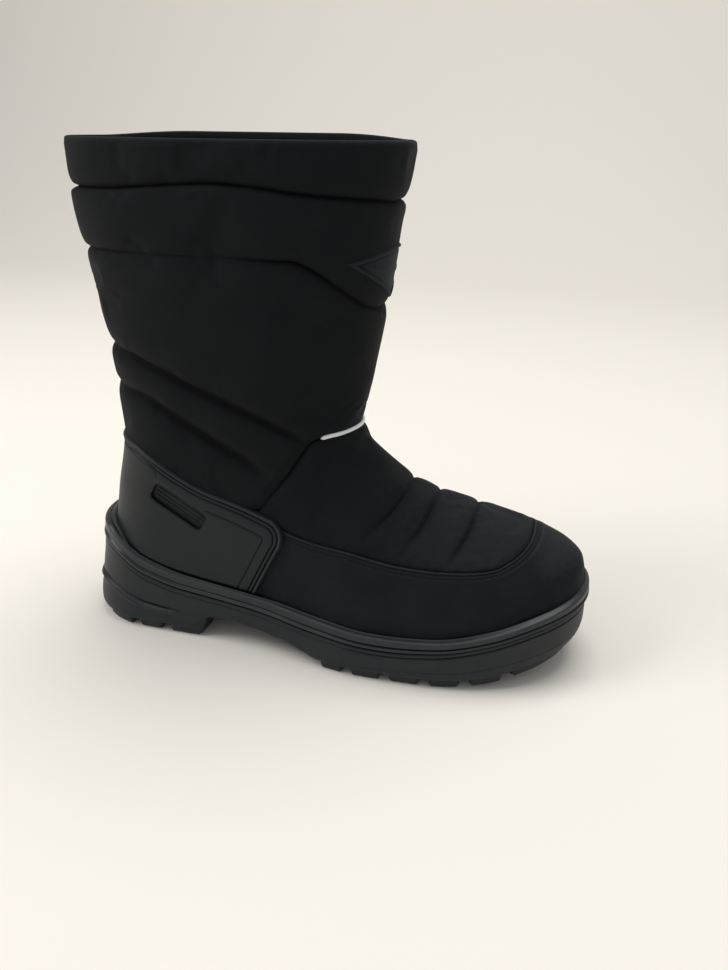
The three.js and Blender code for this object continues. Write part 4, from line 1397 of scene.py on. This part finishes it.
# %% [markdown]
# ## The rim
# Round the boot, over the sole's main groove, runs a raised rim: two rounded beads, one on
# the other, and a ledge that turns in to meet the upper. It is a ring with a closed
# section, so every row is one place on that section carried round the foot.
# %% Rim
RIM_SECTION = table(
    "share out",
    (0, -1.8), (0.03, -0.7), (0.08, 0.2), (0.15, 0.8), (0.23, 0.95), (0.3, 0.55), (0.35, -0.25),
    (0.385, -0.65), (0.42, -0.35), (0.47, 0.2), (0.54, 0.45), (0.66, 0.5), (0.76, 0.55), (0.84, 0.85),
    (0.91, 0.95), (0.96, 0.55), (1, -0.4),
)
RIM_GAP = 0.45  # between the rim and the sole's main groove
RIM_SHARES = np.concatenate([np.linspace(0, 0.12, 6), np.linspace(0.14, 0.88, 32), np.linspace(0.9, 1, 6)])
LEDGE_SHARES = np.concatenate([np.linspace(0, 0.26, 17)[1:], np.linspace(0.3, 1, 6)])
RIM_FULLER = 1.4  # how much more its top edge stands out beside the counter
RIM_FALL, RIM_FALL_AHEAD = 2.6, 0.6  # how far the ledge drops beside the counter and the guard
RIM_RISE = 3.4  # how far it climbs towards the counter at the very back


def make_rim():
    angle = np.linspace(0, 2 * math.pi, SOLE_COLUMNS)
    rows, relief = [], []
    for f in RIM_SHARES:
        out = float(read(RIM_SECTION, "share", "out", f))
        fuller = RIM_FULLER * float(smooth(f, 0.82, 1.0))
        rows.append(side(angle, lambda x: mix(groove_height(x) + RIM_GAP, rim_height(x), f),
                         lambda x, z: out + fuller * smooth(x, 135, 112)))
        # The rim's colour follows its section: painted highlights on the beads, painted shade in the valley
        # and at its foot against the groove.
        relief.append(0.9 * out - 0.25 if f > 0.05 else -0.8)
    outer = rows[-1]
    inside = inner_ring(angle, rim_height)
    at_back = smooth(outer[:, 0], 50, 5)
    for t in LEDGE_SHARES:
        fall = mix(RIM_FALL * smooth(outer[:, 0], 135, 100) + RIM_FALL_AHEAD, 0.2, at_back)
        lip = 0.3 * math.sin(math.pi * min(t * 7, 1)) - fall * smooth(t, 0.07, 0.22)
        lip = lip + RIM_RISE * at_back * smooth(t, 0.06, 0.5)
        rows.append(mix(outer, inside, t) + np.stack([0 * lip, 0 * lip, lip], -1))
        # The ledge is painted darker as it turns in: painted shade in the gap against the counter and the
        # upper.
        relief.append(0.6 - 1.7 * smooth(t, 0.05, 0.2) * mix(1, 0.25, at_back))
    rows.append(inner_ring(angle, lambda x: groove_height(x) + RIM_GAP))
    relief.append(-0.5)
    rows.append(rows[0])
    relief.append(relief[0])
    grid = np.array(rows)
    maker = Maker("sole_rim")
    relief = np.array([np.broadcast_to(value, angle.shape) for value in relief])
    maker.cover(maker.add(grid, relief), *cloth_map(grid))
    return maker.build(rim_rubber)


sole_rim = make_rim()

# %% [markdown]
# ## The tread
# Lugs stand down from the tread plate: blocks along the edge, parted by gaps, with bars
# across the middle. Each edge lug is one rounded section swept along the sole's outline
# between two gaps, so the lugs at heel and toe bend round the ends by the same rule.
# %% Lugs
HEEL_GAPS = (7.0, 33.0, 54.0)
SOLE_GAPS = tuple(174.5 + 23.0 * i for i in range(5))
GAP_HALF = 2.8
ARCH_FROM, ARCH_TO = 77.0, 158.0
BREAST_LEAN = 0.36  # how the heel's front face slants, x over z
BREAST_TOP = 17.0  # how high the heel's front lug is at its slanted end
LUG_SECTION = table(  # inset from the tread's edge, and share of the height, round a lug
    "inset up",
    (0.5, 1), (0.7, 0.5), (1.0, 0.25), (1.4, 0.11), (2.1, 0.03), (3.2, 0), (11, 0), (18.4, 0),
    (19.2, 0.05), (19.8, 0.16), (20, 0.4), (20, 1), (10, 1),
)
TREAD = {"heel": -4.2, "toe": 300.0, "grow": 0.2}  # the outline that the lugs follow
BEVEL, PINCH = 1.4, 1.2  # how far the ends of a lug are cut back, along it and across it
BAR = table(  # a bar's outline across the sole
    "across up",
    (-1, 1), (-1, 0.3), (-0.97, 0.08), (-0.9, 0), (-0.45, 0), (0, 0), (0.45, 0), (0.9, 0),
    (0.97, 0.08), (1, 0.3), (1, 1), (0, 1), (-1, 1),
)
BAR_INSET, BAR_BEVEL = 25.0, 0.8


def tread_angle(x, inner):
    along = np.clip((x - TREAD["heel"]) / (TREAD["toe"] - TREAD["heel"]), 0, 1)
    angle = math.acos(1 - 2 * along)
    return angle if inner else 2 * math.pi - angle


def lug(maker, start, end, lean=0.0):
    """A lug from one angle of the outline to another; lean slants its last face."""
    first, last = (np.array(ring(np.array([a]), **TREAD)) for a in (start, end))
    count = max(7, int(abs(end - start) * 26))
    bevel = BEVEL / max(np.linalg.norm(last - first), 12)
    t = np.concatenate([[0, bevel], np.linspace(bevel, 1 - bevel, count)[1:-1], [1 - bevel, 1]])
    angle = mix(start, end, t)
    x, y = ring(angle, **TREAD)
    ahead = np.stack(ring(angle + 1e-4, **TREAD), -1) - np.stack(ring(angle - 1e-4, **TREAD), -1)
    ahead /= np.linalg.norm(ahead, axis=1, keepdims=True)
    outward = np.stack([-ahead[:, 1], ahead[:, 0]], -1)
    pinch = np.where((t == 0) | (t == 1), PINCH, 0.0)[:, None]
    inset, up = (np.append(LUG_SECTION[name], LUG_SECTION[name][0]) for name in ("inset", "up"))
    inset = inset + pinch * np.sign(10 - inset)
    base = ground(x)[:, None]
    top = shell_bottom(x) + 2.0
    if lean:
        top = mix(top, BREAST_TOP, smooth(t, 0.45, 1.0))
    z = mix(base, top[:, None], up) + pinch * (up < 0.5)
    plan = np.stack([x, y], -1)[:, None] - outward[:, None] * inset[..., None]
    shift = lean * (z - base) * smooth(t, 0.45, 1.0)[:, None]
    grid = np.concatenate([plan + np.stack([shift, 0 * shift], -1), z[..., None]], -1)
    relief = np.where(up < 0.1, 0.5, 0.0) + 0.3 * (pinch > 0)
    numbers = maker.add(grid, relief)
    turned = numbers if start < end else numbers[::-1]
    maker.cover(turned)
    maker.cap(list(turned[0, :-1]))
    maker.cap(list(turned[-1, :-1])[::-1])


def bar(maker, start, end):
    """A bar across the middle of the tread."""
    x = np.array([start, *np.linspace(start + BAR_BEVEL, end - BAR_BEVEL, 5), end])
    pinch = np.where((x == start) | (x == end), BAR_BEVEL, 0.0)[:, None]
    inner, outer = (sole_width(x, np.full(len(x), flag)) - BAR_INSET for flag in (True, False))
    across, up = BAR["across"], BAR["up"]
    reach = np.where(across > 0, inner[:, None], outer[:, None]) - pinch
    y = middle(x)[:, None] + across * reach
    base = ground(x)[:, None] + 0.8
    z = mix(base, shell_bottom(x)[:, None] + 2.0, up) + pinch * (up < 0.5)
    grid = np.stack([np.broadcast_to(x[:, None], y.shape), y, z], -1)
    numbers = maker.add(grid, 0.3)
    maker.cover(numbers[:, ::-1])
    maker.cap(list(numbers[0, :-1])[::-1])
    maker.cap(list(numbers[-1, :-1]))


def make_lugs():
    maker = Maker("tread_lugs")
    heel_ends = [*HEEL_GAPS, ARCH_FROM + GAP_HALF]
    sole_ends = [ARCH_TO - GAP_HALF, *SOLE_GAPS]
    for inner in (True, False):
        for ends in (heel_ends, sole_ends):
            for a, b in zip(ends[:-1], ends[1:]):
                lean = BREAST_LEAN if b == heel_ends[-1] else 0.0
                lug(maker, tread_angle(a + GAP_HALF, inner), tread_angle(b - GAP_HALF, inner), lean)
    back = tread_angle(HEEL_GAPS[0] - GAP_HALF, True)
    front = tread_angle(SOLE_GAPS[-1] + GAP_HALF, True)
    lug(maker, -back, back)
    lug(maker, front, 2 * math.pi - front)
    for ends in ([24.0, *HEEL_GAPS[1:], 79.0], [ARCH_TO - GAP_HALF, *SOLE_GAPS[:-1], 274.0]):
        for a, b in zip(ends[:-1], ends[1:]):
            bar(maker, a + GAP_HALF, b - GAP_HALF)
    return maker.build(sole_rubber, turn_out=True)


tread_lugs = make_lugs()

# %% [markdown]
# ## Inside the boot
# A felt footbed lies on the floor, and a brushed fleece sock lines everything from the toe
# up to the collar's turned-down cloth. The sock is one sleeve: its grid starts at the tip
# of the toe, runs up the outside, over its top edge, and back down to the toe inside.
# %% Footbed and fleece
FOOTBED_THICK = 4.6
FOOTBED_ENDS = (17.5, 292.0)
LINING_OUT, LINING_IN = -3.5, -5.7
LINING_TOP = COLLAR_TOP - 6.5
PILE = 0.22  # unevenness of the fleece


def make_footbed(rows=81, columns=33):
    along = (1 - np.cos(np.linspace(0, math.pi, rows))) / 2
    heel, toe = FOOTBED_ENDS
    x = mix(heel, toe, along)
    z = foot_floor(x)
    at = mix(heel - 5.6, toe + 4.0, along)
    inner, outer = (skin(*locate(at, foot_floor(at) + 4.0, flag))[:, 1] for flag in (True, False))
    ends = closing(along / 0.05) * closing((1 - along) / 0.06)
    across = np.sin(np.linspace(-math.pi / 2, math.pi / 2, columns))[None]
    wide = np.where(across > 0, inner[:, None], outer[:, None]) - middle(at)[:, None]
    wide = (np.abs(wide) - 5.9 * smooth(along, 0, 0.03)[:, None]) * np.maximum(ends, 0.02)[:, None]
    y = middle(x)[:, None] + across * np.maximum(wide, 0.4)
    cup = 2.0 * np.abs(across) ** 4 * smooth(x, 120, 60)[:, None]
    edge = closing((1 - np.abs(across)) / 0.06) * closing(np.minimum(along, 1 - along) / 0.004)[:, None]
    top = z[:, None] + 1.5 + (FOOTBED_THICK - 1.4) * edge + cup
    face, back = (np.stack(np.broadcast_arrays(x[:, None], y, level_z), -1)
                  for level_z in (top, z[:, None] + 1.4))
    maker = Maker("footbed")
    slab(maker, face, thinned(back, 4, 4))
    return maker.build(felt)


def make_lining(rows=150, columns=145):
    turns = evened(15.0, columns)
    top = crossing(turns, level(LINING_TOP), 15, LAST_SECTION)
    s = mix(-1.0, top[None], np.linspace(0, 1, rows)[:, None])
    outer = grown(s, turns[None], LINING_OUT)
    fur = np.random.default_rng(11).normal(0, PILE, s.shape)
    fur[:, -1] = fur[:, 0]
    fur[:3] = 0
    inner = grown(s, turns[None], LINING_IN + fur)
    for points, lift in ((outer, 0.5), (inner, 1.0)):
        points[..., 2] = np.maximum(points[..., 2], foot_floor(points[..., 0]) + lift)
    outer[0], inner[0] = outer[0, 0], inner[0, 0]
    over = (outer[-1] + inner[-1]) / 2 + np.array([0, 0, 0.9])
    grid = np.concatenate([outer, over[None], inner[::-1]])
    maker = Maker("fleece_lining")
    maker.cover(maker.add(grid, 0.2), *cloth_map(grid))
    return maker.build(fleece)


footbed = make_footbed()
fleece_lining = make_lining()

# %% [markdown]
# ## The badge
# A soft rubber badge, a rhombus bent round the shin, is bare but for its border and a bar
# across. A flat plate could be wrapped on with a Shrinkwrap modifier, but drawn straight on
# the last it keeps an even thickness, and its border follows its outline.
# %% Badge
BADGE_STEPS = np.array([0, 0.12, 0.25, 0.45, 0.7, 1.05, 1.4, 1.65, 1.9, 2.1, 2.3, 2.55, 2.8])
BADGE = {"y": 2.0, "z": 222.0, "lift": 7.0, "half": 14.5, "reach": 34.0}
SHIN_X = 178.0  # where the middle line of the shin is read
BADGE_EDGE = table("across half", (0, 1), (10, 0.77), (20, 0.52), (28, 0.25), (34, 0.02))
BADGE_SECTION = table(  # height by distance from the badge's edge
    "d height",
    (0, 0.7), (0.25, 1.9), (0.7, 2.6), (1.4, 2.7), (1.9, 2.4), (2.3, 1.7), (2.8, 2.0), (20, 2.1),
)


def front_place(y, z):
    """The section and turn of a place on the shin, given across and up."""
    inner = y > middle(SHIN_X)
    across = np.abs(y - middle(SHIN_X))

    def along_at(s):
        base_z, crown_z = section(s, "base_z", "crown_z")
        return np.clip((z - base_z) / (crown_z - base_z), 0, 1)

    def narrower(s):
        along = along_at(s)
        return half_width(mix(*section(s, "base_x", "crown_x"), along), z, along, s, inner) < across

    crown = search(lambda s: section(s, "crown_z")[0] < z, np.full_like(z, 8), np.full_like(z, LAST_SECTION))
    s = search(narrower, crown, crown + 0.95)
    return s, turn_of(along_at(s), inner)


def make_badge():
    across = np.linspace(-1, 1, 131)
    across = np.sign(across) * np.abs(across) ** 0.9 * BADGE["reach"]
    half = BADGE["half"] * read(BADGE_EDGE, "across", "half", np.abs(across))
    edge = np.minimum(BADGE_STEPS[None], half[:, None] * np.linspace(0, 0.9, len(BADGE_STEPS)))
    inside = mix(edge[:, -1:], half[:, None], np.linspace(0, 1, 14)[None, 1:])
    from_edge = np.concatenate([edge, inside], 1)
    up, from_edge = both(from_edge - half[:, None], np.negative), both(from_edge)
    y = np.broadcast_to((BADGE["y"] + across)[:, None], up.shape)
    z = BADGE["z"] + BADGE["lift"] * (np.abs(across) / BADGE["reach"])[:, None] + up
    s, turn = front_place(y, z)
    to_edge = from_edge * 0.87
    height = read(BADGE_SECTION, "d", "height", to_edge)
    bar_here = hollow(up + 0.5, 0.9) * smooth(to_edge, 2.4, 3.4)
    height = height + 0.45 * bar_here
    # Painted highlight on the border's bead and on the bar, painted shade in the groove inside the border.
    relief = 0.55 * hollow(to_edge - 1.1, 0.8) - 0.9 * hollow(to_edge - 2.4, 0.5) + 0.4 * bar_here
    maker = Maker("shin_badge")
    slab(maker, grown(s, turn, height)[:, ::-1], grown(s, turn, 0.25)[:, ::-1], relief[:, ::-1])
    return maker.build(badge_rubber, turn_out=True)


shin_badge = make_badge()

# %% [markdown]
# ## The piping
# A pale reflective cord is caught in the ankle seam over the instep. It is a round tube
# swept along the seam, as a bevelled curve would be, but with its ends drawn to a point
# where they run into the seam.
# %% Piping
PIPING_RADIUS = 1.15
PIPING_FROM = 151.0


def make_piping():
    turns = np.linspace(0.3, 0.7, 400)
    s = crossing(turns, ankle_seam, 7, 13, 500)
    points = skin(s, turns)
    kept = points[:, 0] > PIPING_FROM
    s, turns = s[kept][::3], turns[kept][::3]
    maker = Maker("ankle_piping")
    tube(maker, grown(s, turns, 0.1), facing(s, turns), PIPING_RADIUS, 12, taper=2.5)
    return maker.build(piping_white)


ankle_piping = make_piping()

# %% [markdown]
# ## The stitches
# The guard's folded edge is held down by a row of short stitches. They repeat along a path,
# so Geometry Nodes lay them: the path becomes a curve, points are set along it a pitch
# apart, and a small stretched bead turns up at each point.
# %% Stitches by Geometry Nodes
STITCH = {"Pitch": 3.1 * MM, "Length": 1.9 * MM, "Radius": 0.27 * MM}


def stitch_tree():
    """Lays one small rounded stitch at each step of a path."""
    tree = bpy.data.node_groups.new("stitches", "GeometryNodeTree")
    tree.interface.new_socket("Geometry", in_out="INPUT", socket_type="NodeSocketGeometry")
    for label in STITCH:
        tree.interface.new_socket(label, in_out="INPUT", socket_type="NodeSocketFloat")
    tree.interface.new_socket("Thread", in_out="INPUT", socket_type="NodeSocketMaterial")
    tree.interface.new_socket("Geometry", in_out="OUTPUT", socket_type="NodeSocketGeometry")
    nodes = tree.nodes
    given, out = nodes.new("NodeGroupInput"), nodes.new("NodeGroupOutput")
    path, steps = nodes.new("GeometryNodeMeshToCurve"), nodes.new("GeometryNodeCurveToPoints")
    steps.mode = "LENGTH"
    bead, size = nodes.new("GeometryNodeMeshUVSphere"), nodes.new("ShaderNodeCombineXYZ")
    bead.inputs["Segments"].default_value, bead.inputs["Rings"].default_value = 8, 6
    bead.inputs["Radius"].default_value = 1.0
    half = nodes.new("ShaderNodeMath")
    half.operation = "MULTIPLY"
    half.inputs[1].default_value = 0.5
    copies, real = nodes.new("GeometryNodeInstanceOnPoints"), nodes.new("GeometryNodeRealizeInstances")
    finish_node, soft = nodes.new("GeometryNodeSetMaterial"), nodes.new("GeometryNodeSetShadeSmooth")
    for start, output, end, socket in (
        (given, "Geometry", path, "Mesh"), (path, "Curve", steps, "Curve"), (given, "Pitch", steps, "Length"),
        (given, "Length", half, 0), (half, 0, size, "Z"), (given, "Radius", size, "X"),
        (given, "Radius", size, "Y"), (steps, "Points", copies, "Points"),
        (steps, "Rotation", copies, "Rotation"), (bead, "Mesh", copies, "Instance"),
        (size, 0, copies, "Scale"), (copies, "Instances", real, "Geometry"),
        (real, "Geometry", soft, "Geometry"), (soft, "Geometry", finish_node, "Geometry"),
        (given, "Thread", finish_node, "Material"), (finish_node, "Geometry", out, "Geometry"),
    ):
        tree.links.new(start.outputs[output], end.inputs[socket])
    return tree


def stitched(name, path, tree, sizes, material):
    """A row of stitches along a path, as a plain mesh."""
    mesh = bpy.data.meshes.new(name)
    mesh.from_pydata(placed(path).tolist(), [(i, i + 1) for i in range(len(path) - 1)], [])
    piece = put(name, mesh)
    row = piece.modifiers.new("stitches", "NODES")
    row.node_group = tree
    for item in tree.interface.items_tree:
        if item.in_out == "INPUT" and item.name in sizes:
            row[item.identifier] = sizes[item.name]
        if item.in_out == "INPUT" and item.name == "Thread":
            row[item.identifier] = material
    piece.data = evaluated(piece, name)
    print(f"{name}: {len(piece.data.polygons)} faces")
    return piece


guard_stitches = stitched("guard_stitches", guard_stitch_path, stitch_tree(), STITCH, thread)

# %% [markdown]
# ## The camera
# The camera stands ahead of the boot, to its outer side and a little above it, and looks
# down. It is given as a place, three angles and a focal length, so each can be changed
# alone, which a Track To constraint would not allow.
# %% Camera
VIEW = {"place": (284.8, -446.3, 292.8), "yaw": 14.421, "down": 23.129, "roll": 0.727, "lens": 31.254}


def make_camera():
    yaw, down, roll = (math.radians(VIEW[key]) for key in ("yaw", "down", "roll"))
    ahead = Vector((-math.sin(yaw) * math.cos(down), math.cos(yaw) * math.cos(down), -math.sin(down)))
    right = Vector((math.cos(yaw), math.sin(yaw), 0))
    up = right.cross(ahead)
    turned_right = math.cos(roll) * right + math.sin(roll) * up
    turned_up = -math.sin(roll) * right + math.cos(roll) * up
    data = bpy.data.cameras.new("camera")
    data.lens, data.sensor_width, data.sensor_fit = VIEW["lens"], 36.0, "AUTO"
    camera = put("camera", data)
    turn = Matrix((turned_right, turned_up, -ahead)).transposed().to_4x4()
    camera.matrix_world = Matrix.Translation(placed(VIEW["place"]).tolist()) @ turn
    bpy.context.scene.camera = camera
    return camera


camera = make_camera()
print("camera at", [round(v, 3) for v in camera.location])

# %% [markdown]
# ## Floor and light
# The floor curves up into a backdrop, so no line crosses the view. Two large soft lights
# and a pale sky leave shadows without hard edges, as a light tent does round a product.
# %% Floor and light
FLOOR = {"bend_from": 1.2, "bend": 0.8, "colour": (0.94, 0.9, 0.83)}
SKY = {"colour": (0.95, 0.97, 1.0, 1), "strength": 0.45}
LIGHTS = (  # name, place, size, power, colour
    ("window", (-1.2, -0.5, 1.3), 0.9, 11.5, (1.0, 0.98, 0.95)),
    ("ceiling", (0.2, 0.3, 1.8), 1.3, 16.0, (1.0, 0.99, 0.97)),
)
LIT = (0, 0, 0.1)  # where the lights point


def soft_light(name, place, size, power, colour):
    data = bpy.data.lights.new(name, "AREA")
    data.shape, data.size, data.energy, data.color = "DISK", size, power, colour
    light = put(name, data)
    light.location = place
    light.rotation_euler = (Vector(LIT) - Vector(place)).to_track_quat("-Z", "Y").to_euler()


def make_floor():
    """A floor that curves up into a backdrop."""
    start, bend = FLOOR["bend_from"], FLOOR["bend"]
    angles = np.linspace(0, math.pi / 2, 24)[1:]
    curve = [(start + bend * math.sin(a), bend - bend * math.cos(a)) for a in angles]
    rows = [(-3.0, 0.0), (start, 0.0), *curve, (start + bend, 4.0)]
    mesh = bpy.data.meshes.new("floor")
    points = [(x, y, z) for y, z in rows for x in (-5.0, 5.0)]
    faces = [(2 * i, 2 * i + 1, 2 * i + 3, 2 * i + 2) for i in range(len(rows) - 1)]
    mesh.from_pydata(points, [], faces)
    mesh.shade_smooth()
    pale = bpy.data.materials.new("floor")
    pale.use_nodes = True
    shader = pale.node_tree.nodes["Principled BSDF"]
    shader.inputs["Base Color"].default_value = (*FLOOR["colour"], 1)
    shader.inputs["Roughness"].default_value = 0.7
    mesh.materials.append(pale)
    floor = put("floor", mesh)


make_floor()
world = bpy.data.worlds.new("room")
world.use_nodes = True
sky = world.node_tree.nodes["Background"]
sky.inputs["Color"].default_value, sky.inputs["Strength"].default_value = SKY["colour"], SKY["strength"]
bpy.context.scene.world = world
bpy.context.scene.view_settings.view_transform = "Standard"
for light in LIGHTS:
    soft_light(*light)
print("lights:", ", ".join(name for name, *_ in LIGHTS))

# %% [markdown]
# ## The pieces on the body
# Each piece now rides on the boot's one body and, where it shows what a solid stands for,
# takes that solid's place. Nothing is hidden by hand, so a solid without a piece would
# still be seen. The last lines count the finished pieces' triangles.
# %% Close
PIECES = (  # piece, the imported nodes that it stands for, its finish, how full its padding is
    (padded_leg, ("shaft",), "quilted_textile", 0.6),
    (vamp, ("upper",), "quilted_textile", 0.6),
    (toe_guard, (), "coated_textile", None),
    (guard_stitches, (), "coated_textile", None),
    (counter_cup, ("heel_counter",), "counter_rubber", None),
    (counter_ribs, (), "counter_rubber", None),
    (sole_shell, ("outsole",), "sole_rubber", None),
    (tread_lugs, (), "sole_rubber", None),
    (sole_rim, ("welt",), "sole_rubber", None),
    (footbed, ("insole",), "footbed_felt", 0.5),
    (fleece_lining, (), "fleece_lining", None),
    (shin_badge, ("badge",), "badge_rubber", None),
    (ankle_piping, (), "reflective_piping", None),
)
for piece, nodes, finish_slot, fill in PIECES:
    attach(piece, "root")
    if nodes:
        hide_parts(*nodes)
total = sum(len(polygon.vertices) - 2 for piece, *_ in PIECES for polygon in piece.data.polygons)
print("triangles in all:", total)
